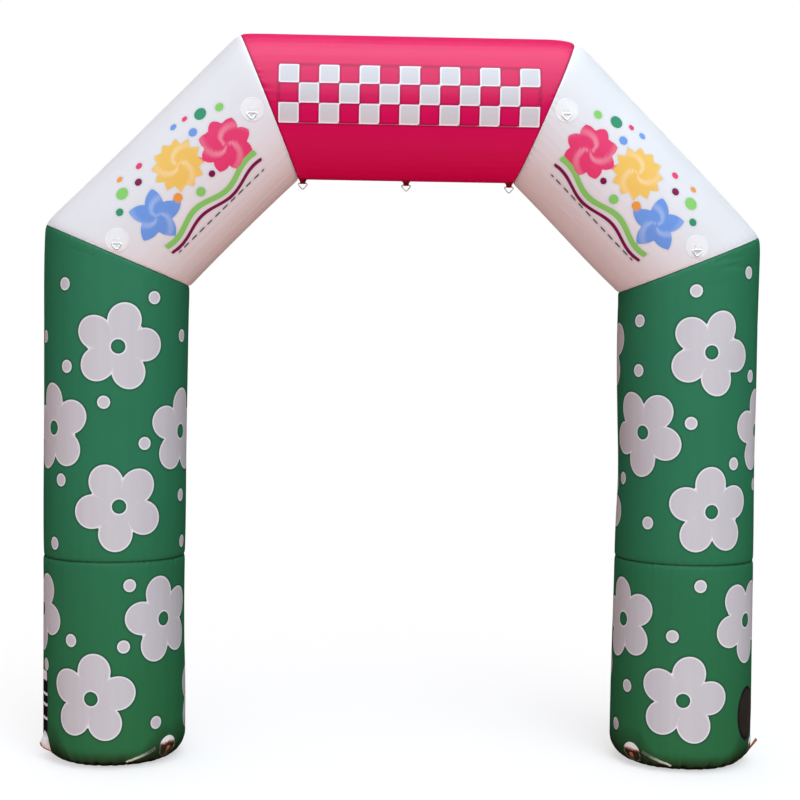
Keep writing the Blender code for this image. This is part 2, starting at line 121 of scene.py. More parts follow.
UPPER_CREASES = {
    "left": ((-35, 2.045, 0.26, 0.011, 0.0010, 0.10), (20, 2.06, 0.24, 0.010, 0.0010, -0.06)),
    "right": ((16, 2.082, 0.13, 0.010, 0.0034, 0.05), (27, 2.058, 0.15, 0.011, 0.0040, -0.10),
              (25, 2.012, 0.13, 0.012, 0.0042, -0.12), (38, 1.975, 0.22, 0.014, 0.0034, -0.16),
              (-30, 2.040, 0.22, 0.009, 0.0028, 0.10), (12, 1.93, 0.20, 0.014, 0.0024, -0.10),
              (45, 0.72, 0.22, 0.014, 0.0024, 0.10), (30, 0.55, 0.26, 0.016, 0.0020, -0.08),
              (-60, 0.86, 0.18, 0.012, 0.0018, 0.12)),
}
SHOULDER_CREASES = {
    "left": ((-48, 0.10, 0.20, 0.010, 0.0014, 0.25), (-50, 1.41, 0.20, 0.010, 0.0014, -0.25)),
    "right": ((-48, 0.11, 0.20, 0.010, 0.0014, 0.25), (-52, 1.40, 0.22, 0.010, 0.0016, -0.25),
              (62, 1.36, 0.20, 0.012, 0.0016, 0.2)),
}

BASE_TUCKS = (0.07, 0.0022)      # small gathers above the base seam: how far up they reach, and depth
BASE_GROOVE = 0.002

# Sizes of the sewn fittings
PATCH_R = 0.082
PATCH_T = 0.0015
PATCH_PULL = 0.004        # how far a foot's tab draws its patch out
HARD_PULL = 0.034
PULLED_TAB = "left_outer"
HEM = 0.007
HEM_STEPS = np.array((0.7, 0.25, 0.0))           # rings of a hem: hems in from the edge
HEM_HEIGHTS = np.array((1.35, 1.25, 0.55))       # and how thick the cloth is there
HEM_ROWS = (0.0045, 0.0105)      # rows of stitches round a patch, in from its edge
SHOULDER_ROWS = (0.0045, 0.0115)         # rows of stitches beside the seams, by distance from them
LEG_ROWS = (0.0055, 0.0050)
BEAM_ROW = 0.0055
STITCH_UP = 0.0003        # a thread's middle above what it is sewn through
WEB_T = 0.0018
TAB_W = 0.040
TAB_FLARE = 0.020         # how much wider a beam's tab is where it is sewn on
RING_WIRE = 0.0035
RING_HALF = 0.0310        # half a ring's straight bar, to the middle of its wire
RING_DROP = 0.0415
RING_CORNER = 0.008
RING_FOOT = 0.012
RING_STEPS = 96
LOOP_OUT = RING_WIRE + CLEAR + WEB_T     # from a ring's middle to the outside of its webbing
FOLD_STEP = 0.0012        # points along folded webbing
BOX_LENGTH = 0.017        # stitched boxes on the tabs
BEAM_BOX_W = 0.030
SHOULDER_BOX_W = 0.031
BEAM_TAB_X = 0.742
BEAM_EAR = 0.030          # how far a beam tab's sewn end reaches from its middle
SHOULDER_PATCHES = (      # (side, end, distance from that end's mitre, turn in degrees)
    ("left", "low", 0.100, 0.0),
    ("left", "high", 0.134, -1.0),
    ("right", "low", 0.104, 3.0),
    ("right", "high", 0.113, 2.0),
)
FOOT_PATCHES = (          # (side, place, turn in degrees, distance below the rounding's top)
    ("left", "inner", -56.0, 0.042),
    ("left", "outer", 65.0, 0.036),
    ("right", "inner", -54.0, 0.064),
    ("right", "outer", 70.0, 0.040),
)
FOOT_TAB_W = 0.032
FOOT_TAB_UP = 0.010
FOOT_TAB_END = 0.128
FOOT_TAB_ROW_X = (-0.012, 0.012)
STANDING_TAB = "right_outer"
STAND_TAB_FOOT = (0.100, 0.060)  # where it lies on the cloth, below the rounding's top
STAND_TAB_REACH = 0.096
STAND_TAB_ANGLE = 56.0
STAND_TAB_TWIST = 38.0
FOOT_STRAP_W = 0.024
FOOT_STRAP_FROM = (-19.0, 0.126)         # turn in degrees, distance below the rounding's top
FOOT_STRAP_TO = (-43.0, 0.030)
FOOT_STRAP_ROW_X = (-0.009, 0.009)
INLET_TURN = 54.0
INLET_Z = 0.395
INLET_MESH_R = 0.170
INLET_RIM_R = 0.192
INLET_NARROW = 0.66       # its width over its height
NET_PITCH = 0.0085
NET_UP = 0.0016
RIM_T = 0.0022            # the sewn rim's thickness at its edge, and how much it swells
RIM_SWELL = 0.0014
RIM_ROW_IN = (0.005, 0.004)      # rows of stitches, in from its inner and outer edge
ZIP_TURN = 63.5
ZIP_TAPE_W = 0.088
ZIP_FROM_Z = 0.215
ZIP_TO_Z = 0.635
ZIP_TAPE_T = 0.0011
ZIP_ROW_X = (-0.039, -0.030, 0.030, 0.039)
ZIP_TEETH_STEP = 0.0042
ZIP_TOOTH = np.array((0.0002, 0.0046))   # from where to where a tooth reaches, from the middle
ZIP_BARS = (0.305, 0.402, 0.478)         # heights of the bars across it
ZIP_BAR_W = 0.020
ZIP_BAR_T = 0.0014

# Prints, which repeat on the back of the shoulders and the beam
LEG_FLOWERS = {           # (turn in degrees, height, size, own turn in degrees)
    "left": ((10, 0.50, 1.00, 12), (132, 0.62, 0.95, 40), (250, 0.42, 0.96, 3), (-52, 1.03, 0.98, 30),
             (72, 1.07, 0.94, 55), (190, 1.05, 1.00, 20), (-12, 1.83, 1.00, 47), (112, 1.80, 0.96, 8),
             (232, 1.86, 0.98, 33), (48, 2.36, 1.00, 25), (170, 2.42, 0.96, 60), (-72, 2.34, 0.98, 15),
             (-10, 2.93, 0.98, 5), (108, 3.00, 1.00, 36), (230, 2.90, 0.95, 50)),
    "right": ((-10, 0.52, 1.00, 30), (-122, 0.60, 0.96, 14), (123, 1.04, 0.98, 22), (50, 1.06, 0.97, 52),
              (-68, 1.04, 0.95, 8), (162, 0.46, 1.00, 40), (10, 1.84, 1.00, 16), (-112, 1.82, 0.96, 44),
              (128, 1.88, 0.98, 28), (-50, 2.38, 1.00, 58), (68, 2.40, 0.96, 10), (188, 2.36, 0.98, 34),
              (8, 2.95, 0.98, 42), (-108, 2.98, 1.00, 18), (128, 2.92, 0.95, 2)),
}
DOT_SEEDS = {"left": 31, "right": 47}
DOT_TRIES = 700
DOT_SPACE = 0.33          # from dot to dot
LEG_R = 0.503             # a leg's mean radius, for its prints and folds
BAND_UP = 0.02            # middle of the beam's band above its axis, round the section
BAND_ROWS = 3
BAND_COLUMNS = 13
INKS = {
    "leaf": (0.235, 0.560, 0.130),
    "blue": (0.150, 0.300, 0.680),
    "gold": (0.820, 0.500, 0.110),
    "rose": (0.730, 0.045, 0.150),
    "plum": (0.190, 0.008, 0.065),
    "amber": (0.790, 0.300, 0.050),
    "pine": (0.030, 0.250, 0.130),
    "slate": (0.080, 0.110, 0.110),
}
SHOULDER_STARS = (        # (ink, along, across, radius, points, depth, own turn, power)
    ("blue", 0.405, -0.070, 0.190, 5, 0.44, 0.30, 1.0),
    ("gold", 0.755, 0.080, 0.190, 12, 0.24, 0.10, 1.0),
    ("rose", 1.085, -0.055, 0.190, 8, 0.28, 0.20, 0.6),
)
SHOULDER_DOTS = (         # (ink, along, across, radius)
    ("leaf", 0.345, 0.215, 0.046), ("plum", 0.480, 0.190, 0.028), ("rose", 0.560, 0.285, 0.026),
    ("amber", 0.600, -0.085, 0.032), ("leaf", 0.740, -0.165, 0.034), ("plum", 0.880, -0.130, 0.024),
    ("blue", 0.985, 0.170, 0.032), ("pine", 1.110, 0.235, 0.046), ("leaf", 1.235, 0.165, 0.032),
    ("pine", 0.245, 0.125, 0.028), ("blue", 0.915, 0.320, 0.026), ("amber", 0.400, 0.320, 0.024),
    ("rose", 1.010, 0.300, 0.022),
)
SHOULDER_RIBBONS = (      # (ink, across, half width, swing)
    ("leaf", -0.255, 0.021, 0.030), ("plum", -0.318, 0.013, 0.026),
)
DASH_PITCH = 0.075
PRINT_EDGE = 0.0024       # over which a print fades
OUTLINE_EDGE = 0.016      # over which the darker line round a print fades
OUTLINE_OUT = 0.010

# Soil and painted shade near the ground
LOW_SOIL_AND_SHADE = (0.014, 0.013, 0.004)
WARM_GROUND_SHADE = (1.0, 0.86, 0.66)        # painted shade: what the legs' colour is dimmed and warmed by near the ground, as by light bounced off it
SOIL_AND_SHADE_UP = 0.130           # how far up it reaches at a foot's front
SIDE_SHADE_UP = 0.17      # and how much farther at its sides, as painted shade where the sides get less light
PATCH_GREY = 0.865        # how bright a clean patch is beside white webbing
PATCH_LOW_BANDS = (            # on a foot's patch, bands that darken it towards the floor: (height of its edge, fade, colour)
    (0.046, 0.014, (0.420, 0.120, 0.080)),
    (0.037, 0.016, (0.026, 0.030, 0.009)),
)

# Camera and light
CAMERA_FOCUS = 1504.95    # focal length over an image 800 wide
CAMERA_PLACE = (-0.3492, -10.8589, 2.8681)
CAMERA_TURNS = (1.7323, -1.536, 0.8481)      # yaw, pitch, roll in degrees
LIGHTS = (                # (name, place, aim, size, power, colour, what it lights)
    ("key", (2.4, -9.0, 9.0), (0.1, 0.0, 2.4), (6.0, 6.0), 455.0, (0.65, 0.86, 1.0), "diffuse"),
    ("panel", (0.0, -5.0, 14.0), (0.0, 0.0, 4.9), (28.0, 20.0), 24000.0, (0.72, 0.96, 0.96), "glossy"),
)
SOFT_LIGHT = (            # (where from, gathering, strength, colour)
    ((0.24, -0.66, 0.71), 10.0, 3.52, (0.86, 0.94, 1.0)),
    ((-0.03, -0.02, 1.0), 10.0, 2.36, (0.86, 0.94, 1.0)),
    ((0.14, -0.40, -0.91), 10.0, 3.79, (1.0, 0.62, 0.56)),
    ((-0.50, -0.86, 0.09), 10.0, 0.81, (0.65, 0.86, 1.0)),
    ((-0.37, -0.21, -0.91), 2.0, 0.65, (1.0, 0.62, 0.56)),
    ((-0.37, -0.21, 0.91), 2.0, 0.52, (1.0, 0.62, 0.56)),
    ((0.0, 0.85, 0.50), 4.0, 1.10, (0.92, 0.96, 1.0)),
)
FLOOR_HALF = 260.0
SHADE_END = 9.0           # how far from the arch the floor takes shadows
SHADE_FADE = 7.0
SHADE_SHARE = 0.45
FLOOR_WHITE = (0.90, 0.90, 0.90)
WHITE = (1.0, 1.0, 1.0)

# Meshes
SIDES = {"left": -1.0, "right": 1.0}
ROUND = 360               # points round a section
CLOTH_STEP = 0.020        # rows of a section, away from its seams
CREASED_ROWS = np.arange(0.08, 0.19, 0.010)    # more of them under a leg's mitre, where it creases
SEAM_ROWS = (0.0, 0.003, 0.006, 0.010, 0.015, 0.021, 0.028, 0.036, 0.046, 0.058, 0.072)
DISC_SEGMENTS = 72
RIM_SEGMENTS = 120
FAR = 9.0                 # a distance past anything on the cloth
WEAVE = 0.0034            # pitch of the cloth's weave


def metres(name, description, default, low, high):
    """A setting that holds a length."""
    return FloatProperty(name=name, description=description, default=default, min=low, max=high,
                         unit="LENGTH")


def dye(name, description, default):
    """A setting that holds a colour."""
    return FloatVectorProperty(name=name, description=description, default=default, subtype="COLOR",
                               min=0.0, max=1.0)


class ArchPrints(bpy.types.PropertyGroup):
    """Sizes of the printed patterns."""

    flower: metres("Flower", "Radius of a printed flower on the legs", 0.315, 0.05, 0.5)
    flower_eye: metres("Flower eye", "Radius of the bare eye of a flower", 0.050, 0.0, 0.2)
    petals: IntProperty(name="Petals", description="Petals of a printed flower", default=5, min=3, max=9)
    dot: metres("Dot", "Radius of the small printed dots between the flowers", 0.045, 0.0, 0.2)
    check: metres("Check", "Side of a square of the beam's chequered band", 0.138, 0.02, 0.3)
    rim: metres("Rim", "Width of the brighter rim of the white prints", 0.016, 0.0, 0.05)


class ArchSewing(bpy.types.PropertyGroup):
    """Sizes of the stitches and wrinkles."""

    pitch: metres("Pitch", "Distance from stitch to stitch", 0.0060, 0.002, 0.05)
    length: metres("Length", "Length of a stitch", 0.0046, 0.001, 0.05)
    thread: metres("Thread", "Thickness of the thread", 0.0012, 0.0003, 0.01)
    pucker: metres("Pucker", "Height of the puckers beside a seam", 0.0012, 0.0, 0.01)
    streak: metres("Streak", "Height of the long soft pleats of a section", 0.00025, 0.0, 0.005)


class ArchColours(bpy.types.PropertyGroup):
    """Colours of the cloth and the webbing."""

    legs: dye("Legs", "Cloth of the legs", (0.027, 0.175, 0.084))
    shoulders: dye("Shoulders", "Cloth of the shoulders", (0.718, 0.704, 0.712))
    beam: dye("Beam", "Cloth of the beam", (0.580, 0.001, 0.080))
    base: dye("Base", "Panels under the feet", (0.012, 0.014, 0.010))
    ink: dye("White ink", "White prints on legs and beam", (0.575, 0.560, 0.580))
    red_web: dye("Red webbing", "Tabs under the beam", (0.300, 0.002, 0.018))
    white_web: dye("White webbing", "Patches, tabs and straps", (0.90, 0.89, 0.88))
    orange_web: dye("Orange webbing", "Anchor tabs of the feet", (0.520, 0.130, 0.045))


# ---------------------------------------------------------------- shapes of the blown-up cloth

def along_table(rows, x):
    """Reads a short table of (place, value) rows along a smooth line, level past its ends."""
    x = np.asarray(x, float)
    places, values = np.array(rows, float).T
    if len(places) == 1:
        return np.full(x.shape, values[0])
    slopes = np.gradient(values, places)
    slopes[0] = slopes[-1] = 0.0
    x = np.clip(x, places[0], places[-1])
    i = np.clip(np.searchsorted(places, x, side="right") - 1, 0, len(places) - 2)
    run = places[i + 1] - places[i]
    t = (x - places[i]) / run
    return (values[i] * (1 + 2 * t) * (1 - t) ** 2 + slopes[i] * run * t * (1 - t) ** 2
            + values[i + 1] * t * t * (3 - 2 * t) + slopes[i + 1] * run * t * t * (t - 1))


def ripples(seed, low, high, terms):
    """A wave round a section that closes on itself, of about unit height, uneven but repeatable."""
    draw = np.random.default_rng(seed)
    counts = draw.integers(low, high + 1, terms)
    phases = draw.uniform(0.0, math.tau, terms)

    def wave(turn, drift=0.0):
        turn = np.asarray(turn, float)
        total = sum(np.cos(n * turn + p + drift * (k % 3 - 1))
                    for k, (n, p) in enumerate(zip(counts, phases)))
        return total / math.sqrt(terms / 2)
    return wave


def seam_pull(away):
    """How far sewing draws the cloth in, by distance from the seam."""
    return 0.009 * np.exp(-away / 0.0137)


def corner_pull(away):
    """How far a mitre's outer corner is drawn in, by distance from it, with 1 at the corner."""
    return np.maximum(0.0, np.exp(-away / 0.052) - 0.045) / 0.955


def pucker_swell(away):
    """Puckers start at the taut seam line, swell and fade."""
    near = away / 0.014
    return near * np.exp(1.0 - near)


class Cloth:
    """What every section's cloth shares: long soft pleats, puckers at its seams, and creases."""

    def __init__(self, seed, creases=()):
        self.streaks = ripples(seed, 16, 58, 12)
        self.billow = ripples(seed + 1, 2, 5, 4)
        self.puckers = [ripples(seed + 2 + k, 30, 88, 16) for k in range(2)]
        self.gathers = [ripples(seed + 4 + k, 4, 11, 5) for k in range(2)]
        self.creases = creases            # (turn, place, half length, half width, depth, slope)

    def relief(self, turn, place, aways):
        """How far the cloth stands out of its plain inflated shape."""
        sewing = bpy.context.scene.arch_sewing
        out = sewing.streak * self.streaks(turn, place * 0.9)
        out = out + 0.0009 * self.billow(turn, place * 1.7)
        for k, away in enumerate(aways):
            uneven = 0.65 + 0.35 * self.gathers[k](turn)
            out = out + sewing.pucker * pucker_swell(away) * uneven * self.puckers[k](turn)
        for centre, middle, half, width, depth, slope in self.creases:
            along = (turn - math.radians(centre)) * SHOULDER_R
            across = place - middle - slope * along
            fade = np.clip(1.0 - (along / half) ** 2, 0.0, 1.0) ** 2
            out = out - depth * fade * np.exp(-(across / width) ** 2)
        return out


class Section(Cloth):
    """A straight blown-up section between two seams, each in a plane square to the arch's plane."""

    def __init__(self, seed, start, end, outward, normals, girth, corners, sway=((0.0, 0.0),), creases=()):
        super().__init__(seed, creases)
        self.start = np.array(start, float)
        self.axis = np.array(end, float) - self.start
        self.length = float(np.linalg.norm(self.axis))
        self.axis /= self.length
        self.outward = np.array(outward, float) / np.linalg.norm(outward)
        self.normals = [np.array(n, float) / np.linalg.norm(n) for n in normals]
        self.girth = girth
        self.corners = corners
        self.sway = sway

    def direction(self, turn):
        front = np.array((0.0, -1.0, 0.0))
        return np.cos(turn)[..., None] * front + np.sin(turn)[..., None] * self.outward

    def radius(self, turn, place):
        aways = (place, self.length - place)
        radius = along_table(self.girth, place)
        bulge = np.maximum(0.0, np.sin(turn)) ** 2
        for end, away in enumerate(aways):
            radius = radius - seam_pull(away) - self.corners[end] * bulge * corner_pull(away)
        return radius + self.relief(turn, place, aways)

    def end_offset(self, turn, end):
        reach = self.radius(turn, np.full(turn.shape, self.length if end else 0.0))
        normal = self.normals[end]
        return -reach * (self.direction(turn) @ normal) / (self.axis @ normal)

    def point(self, turn, place, lift=0.0):
        turn, place = np.broadcast_arrays(np.asarray(turn, float), np.asarray(place, float))
        share = place / self.length
        along = (self.end_offset(turn, 0) * (1 - share) + place + self.end_offset(turn, 1) * share)
        out = self.radius(turn, place) + lift
        shift = along_table(self.sway, place)
        return (self.start + self.axis * along[..., None] + self.direction(turn) * out[..., None]
                + self.outward * shift[..., None])

    def place_of(self, turn, along):
        """The place on a turn's line that lies at a distance along the axis."""
        turn = np.asarray(turn, float)
        low = self.end_offset(turn, 0)
        high = self.length + self.end_offset(turn, 1)
        return self.length * (along - low) / (high - low)

    def skin(self, across, along, lift):
        """across is the distance round the section, along the distance along its axis."""
        turn = np.asarray(across, float) / SHOULDER_R
        return self.point(turn, self.place_of(turn, np.asarray(along, float)), lift)


class Foot(Cloth):
    """A leg's lower cloth: the place is the height, and runs on down the rounding to the floor."""

    def __init__(self, seed, side, creases=()):
        super().__init__(seed, creases)
        self.side = side
        self.sign = SIDES[side]
        self.seam = LEG_SEAM_Z[side]
        self.tucks = ripples(seed + 9, 20, 46, 10)

    def point(self, turn, place, lift=0.0):
        turn, place = np.broadcast_arrays(np.asarray(turn, float), np.asarray(place, float))
        bend = np.clip((FOOT_ROUND - place) / FOOT_ROUND, 0.0, math.pi / 2)
        inward = np.maximum(0.0, FOOT_ROUND - place - FOOT_ROUND * math.pi / 2)
        height = np.where(place > FOOT_ROUND, place, FOOT_ROUND * (1 - np.sin(bend)))
        radius = along_table(LEG_GIRTH[self.side], height) - FOOT_ROUND * (1 - np.cos(bend)) - inward
        out = lift + self.relief(turn, place, (np.full(place.shape, FAR), np.abs(self.seam - place)))
        out = out - seam_pull(np.abs(self.seam - place))
        near = (place - BASE_SEAM) / BASE_TUCKS[0]
        tuck = np.exp(-near * near) * np.clip((place - BASE_FLAT) / 0.04, 0.0, 1.0)
        flat = np.clip((place - BASE_FLAT) / 0.03, 0.0, 1.0)
        out = np.where(place > FOOT_ROUND, out, lift + (out - lift) * flat)
        waves = np.minimum(self.tucks(turn), 1.2) - 1.2
        out = out + BASE_TUCKS[1] * tuck * waves - BASE_GROOVE * np.exp(-(near * 9) ** 2)
        for centre, reach, depth, width in FOOT_FOLDS[self.side]:
            up = np.clip(1.0 - (place - BASE_SEAM) / reach, 0.0, 1.0)
            up = up * np.clip((place - BASE_FLAT) / 0.06, 0.0, 1.0)
            out = out - depth * up * np.exp(-(wrapped_gap(turn, math.radians(centre), LEG_R) / width) ** 2)
        shift = along_table(LEG_SWAY[self.side], height)
        across = radius + out * np.cos(bend)
        rise = height - out * np.sin(bend)
        x = self.sign * (LEG_X + shift) + self.sign * across * np.sin(turn)
        return np.stack([x, -across * np.cos(turn), rise], axis=-1)

    def skin(self, across, along, lift):
        """across is the distance round the leg, along the distance down from the rounding's top."""
        turn = np.asarray(across, float) / LEG_GIRTH[self.side][0][1]
        return self.point(turn, FOOT_ROUND - np.asarray(along, float), lift)


def shoulder_run(mirror):
    """Direction of a shoulder's axis from its leg up to the beam."""
    run = np.array(((LEG_X - BEAM_HALF) * mirror, 0.0, BEAM_Z - MITRE_Z))
    return run / np.linalg.norm(run)


def make_sections():
    """The cloth of every blown-up section by its CAD node's name."""
    made = {}
    for k, (side, sign) in enumerate(SIDES.items()):
        run = shoulder_run(-sign)
        low_mitre, high_mitre = run + (0, 0, 1), run + (-sign, 0, 0)
        corners = CORNER_INSET[side]
        made[f"leg_lower_{side}"] = Foot(110 + 40 * k, side, LOWER_CREASES[side])
        start = LEG_SEAM_Z[side] + GAP / 2
        made[f"leg_upper_{side}"] = Section(
            120 + 40 * k, (sign * LEG_X, 0, start), (sign * LEG_X, 0, MITRE_Z - GAP / 2), (sign, 0, 0),
            ((0, 0, 1), low_mitre), [(z - start, r) for z, r in LEG_GIRTH[side]],
            (0.0, corners["low"]), [(z - start, s) for z, s in LEG_SWAY[side]], UPPER_CREASES[side])
        low = np.array((sign * LEG_X, 0, MITRE_Z)) + run * (GAP / 2)
        high = np.array((sign * BEAM_HALF, 0, BEAM_Z)) - run * (GAP / 2)
        length = float(np.linalg.norm(high - low))
        girth = ((0.0, LEG_GIRTH[side][-1][1]), (0.25, SHOULDER_R), (length - 0.25, SHOULDER_R),
                 (length, BEAM_R))
        made[f"shoulder_{side}"] = Section(
            130 + 40 * k, low, high, (run[2] * sign, 0, -run[0] * sign), (low_mitre, high_mitre), girth,
            (corners["low"], corners["high"]), creases=SHOULDER_CREASES[side])
    half = BEAM_HALF - GAP / 2
    mitres = [shoulder_run(m) + (m, 0, 0) for m in (1.0, -1.0)]
    made["beam"] = Section(210, (-half, 0, BEAM_Z), (half, 0, BEAM_Z), (0, 0, 1), mitres,
                           ((0.0, BEAM_R),), (CORNER_INSET["left"]["high"], CORNER_INSET["right"]["high"]))
    return made


# ---------------------------------------------------------------- meshes

def unit(rows):
    """Rows of vectors, each made one long."""
    return rows / np.linalg.norm(rows, axis=-1, keepdims=True)


def finished(name, mesh, finish, node=None, sharp=35.0):
    """Puts a mesh in the scene as a named piece that rides on the arch."""
    mesh.name = name
    if not len(mesh.polygons):
        raise RuntimeError(f"{name} has no faces")
    mesh.shade_smooth()
    mesh.set_sharp_from_angle(angle=math.radians(sharp))
    mesh.materials.clear()
    mesh.materials.append(looks()[finish])
    piece = bpy.data.objects.new(name, mesh)
    bpy.context.scene.collection.objects.link(piece)
    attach(piece, "root")
    if node:
        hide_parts(node)
    return piece


def mesh_from(points, faces, uvs=None):
    """A closed mesh that faces outward, with the cloth's map on it if one is given."""
    mesh = bpy.data.meshes.new("piece")
    mesh.from_pydata(np.asarray(points, float).reshape(-1, 3).tolist(), [], faces)
    if uvs is not None:
        cloth_layer(mesh, np.asarray(uvs, float).reshape(-1, 2)[corner_points(mesh)])
    mesh.validate()
    return facing_out(mesh)


def wrap(rows, columns, closed=False):
    """Quads between rows of points that close on themselves, and from the last to the first if closed."""
    faces = []
    for r in range(rows if closed else rows - 1):
        e = (r + 1) % rows
        for c in range(columns):
            d = (c + 1) % columns
            faces.append((r * columns + c, r * columns + d, e * columns + d, e * columns + c))
    return faces


def capped(rows, columns):
    """The same quads with a fan at each end, round the two points that follow the rows."""
    faces = wrap(rows, columns)
    hub, last = rows * columns, (rows - 1) * columns
    for c in range(columns):
        d = (c + 1) % columns
        faces += [(hub, d, c), (hub + 1, last + c, last + d)]
    return faces


def facing_out(mesh):
    """Turns a closed mesh's faces outward."""
    bm = bmesh.new()
    bm.from_mesh(mesh)
    bmesh.ops.recalc_face_normals(bm, faces=bm.faces)
    bm.to_mesh(mesh)
    bm.free()
    return mesh


def point_layer(mesh, name, values):
    """Keeps a number or a colour for each point, for a material to read."""
    kind, key = "FLOAT", "value"
    if np.ndim(values) == 2:
        kind, key = "FLOAT_COLOR", "color"
        values = np.insert(values, 3, 1.0, axis=1)
    mesh.attributes.new(name, kind, "POINT").data.foreach_set(key, np.asarray(values, np.float32).ravel())


def corner_points(mesh):
    """The number of the point under each corner of a mesh's faces."""
    corners = np.zeros(len(mesh.loops), np.int32)
    mesh.loops.foreach_get("vertex_index", corners)
    return corners


def cloth_layer(mesh, flat):
    """The cloth's map, given at each corner."""
    mesh.uv_layers.new(name="cloth").data.foreach_set("uv", flat.astype(np.float32).ravel())


def seam_places(low, high, near_low=True):
    """Rows of a section: close together beside its seams, even in between."""
    start = [low + d for d in SEAM_ROWS] if near_low else [low]
    end = [high - d for d in reversed(SEAM_ROWS)]
    steps = max(2, math.ceil((end[0] - start[-1]) / CLOTH_STEP))
    between = np.linspace(start[-1], end[0], steps + 1)[1:-1]
    return np.array(start + list(between) + end)


def skin_mesh(cloth, places):
    """A closed body of one section's cloth, with its turn and place kept for prints and weave."""
    turns = np.arange(ROUND) * (math.tau / ROUND)
    grid_place, grid_turn = np.meshgrid(places, turns, indexing="ij")
    points = cloth.point(grid_turn, grid_place).reshape(-1, 3)
    wrapped = (grid_turn.ravel() + math.pi) % math.tau - math.pi
    uvs = np.stack([wrapped * SHOULDER_R, grid_place.ravel()], axis=1)
    points = np.concatenate([points, [points[:ROUND].mean(0), points[-ROUND:].mean(0)]])
    uvs = np.concatenate([uvs, [[0.0, places[0]], [0.0, places[-1]]]])
    mesh = mesh_from(points, capped(len(places), ROUND))
    # Each corner reads the turn of its own face, so that the map doesn't fold where the turns close
    sizes = np.zeros(len(mesh.polygons), np.int32)
    mesh.polygons.foreach_get("loop_total", sizes)
    face = np.repeat(np.arange(len(sizes)), sizes)
    flat = uvs[corner_points(mesh)]
    top = np.full(len(sizes), -FAR)
    np.maximum.at(top, face, flat[:, 0])
    crossing = (top[face] - flat[:, 0]) > math.pi * SHOULDER_R
    flat[crossing, 0] += math.tau * SHOULDER_R
    cloth_layer(mesh, flat)
    return mesh, uvs[:, 0] / SHOULDER_R, uvs[:, 1], points


def cloth_body(name, cloth, places, seams, finish, node, printed):
    """A section's cloth: printed gives the distance outside its prints, and their ink if it varies."""
    mesh, turn, place, points = skin_mesh(cloth, places)
    gap, ink = printed(turn, place, points)
    point_layer(mesh, "print", gap)
    if ink is not None:
        point_layer(mesh, "ink", ink)
    point_layer(mesh, "seam", np.min([np.abs(place - seam) for seam in seams], axis=0))
    finished(name, mesh, finish, node)


# ---------------------------------------------------------------- prints

def lobed(x, y, radius, count, depth, turn, power):
    """Distance outside a shape with points or petals round it."""
    r = np.hypot(x, y)
    part = (np.arctan2(y, x) + turn) * count / math.tau
    saw = np.abs(2.0 * (part - np.floor(part)) - 1.0)
    rim = radius * (1.0 - depth + depth * saw ** power)
    return (r - rim) * (1.0 - 0.35 * depth)


def petals(x, y, radius, count, turn, eye):
    """Distance outside a flower of round petals with a bare eye."""
    r = np.hypot(x, y)
    part = (np.arctan2(y, x) + turn) / math.tau * count
    fold = (part - np.floor(part) - 0.5) * math.tau / count
    petal = np.hypot((r * np.cos(fold) - 0.600 * radius) / 1.06, r * np.sin(fold)) - 0.375 * radius
    return np.maximum(np.minimum(petal, r - 0.42 * radius), eye - r)


def wrapped_gap(turn, centre, radius):
    """Distance round a section from a turn, the shorter way."""
    return ((turn - centre + math.pi) % math.tau - math.pi) * radius


def scatter_dots(side, flower_gap):
    """Places for small dots all round a leg, clear of the flowers, the seams and each other."""
    draw = np.random.default_rng(DOT_SEEDS[side])
    radius = bpy.context.scene.arch_prints.dot
    turns, heights = draw.uniform(-math.pi, math.pi, DOT_TRIES), draw.uniform(0.26, 4.0, DOT_TRIES)
    mitres = MITRE_Z + looks()["sections"][f"leg_upper_{side}"].end_offset(turns, 1)
    clear = ((flower_gap(turns, heights) > radius + 0.055) & (heights < mitres - radius - 0.06)
             & (np.abs(heights - LEG_SEAM_Z[side]) > radius + 0.05))
    dots = []
    for turn, z in zip(turns[clear], heights[clear]):
        if all(math.hypot(wrapped_gap(turn, t, LEG_R), z - h) > DOT_SPACE for t, h in dots):
            dots.append((turn, z))
    return dots


def leg_print(side, turn, height):
    """Distance outside the white flowers and dots of a leg."""
    prints = bpy.context.scene.arch_prints

    def flower_gap(t, z):
        gaps = [petals(wrapped_gap(t, math.radians(centre), LEG_R), z - middle, prints.flower * size,
                       prints.petals, math.radians(own), prints.flower_eye)
                for centre, middle, size, own in LEG_FLOWERS[side]]
        return np.minimum.reduce(gaps)

    best = flower_gap(turn, height)
    for centre, z in scatter_dots(side, flower_gap):
        best = np.minimum(best, np.hypot(wrapped_gap(turn, centre, LEG_R), height - z) - prints.dot)
    return best


def up_the_face(turn, face, radius):
    """Distance round a section above the middle of its front, or of its back."""
    return wrapped_gap(turn, face, radius) * (1.0 if face == 0.0 else -1.0)


def beam_print(turn, along):
    """Distance outside the white squares of the beam's chequered bands, front and back."""
    check = bpy.context.scene.arch_prints.check
    best = np.full(turn.shape, FAR)
    for face in (0.0, math.pi):
        up = up_the_face(turn, face, BEAM_R) - BAND_UP
        u = along / check + BAND_COLUMNS / 2
        v = up / check + BAND_ROWS / 2
        column, row = np.floor(u), np.floor(v)
        to_edge = np.minimum(np.minimum(u - column, column + 1 - u), np.minimum(v - row, row + 1 - v))
        inside = (u >= 0) & (u < BAND_COLUMNS) & (v >= 0) & (v < BAND_ROWS)
        white = (column + row) % 2 == 0
        beyond = np.maximum(np.maximum(-u, u - BAND_COLUMNS), np.maximum(-v, v - BAND_ROWS))
        gap = np.where(inside, np.where(white, -to_edge, to_edge), np.maximum(beyond, 0.0))
        best = np.minimum(best, gap * check)
    return best


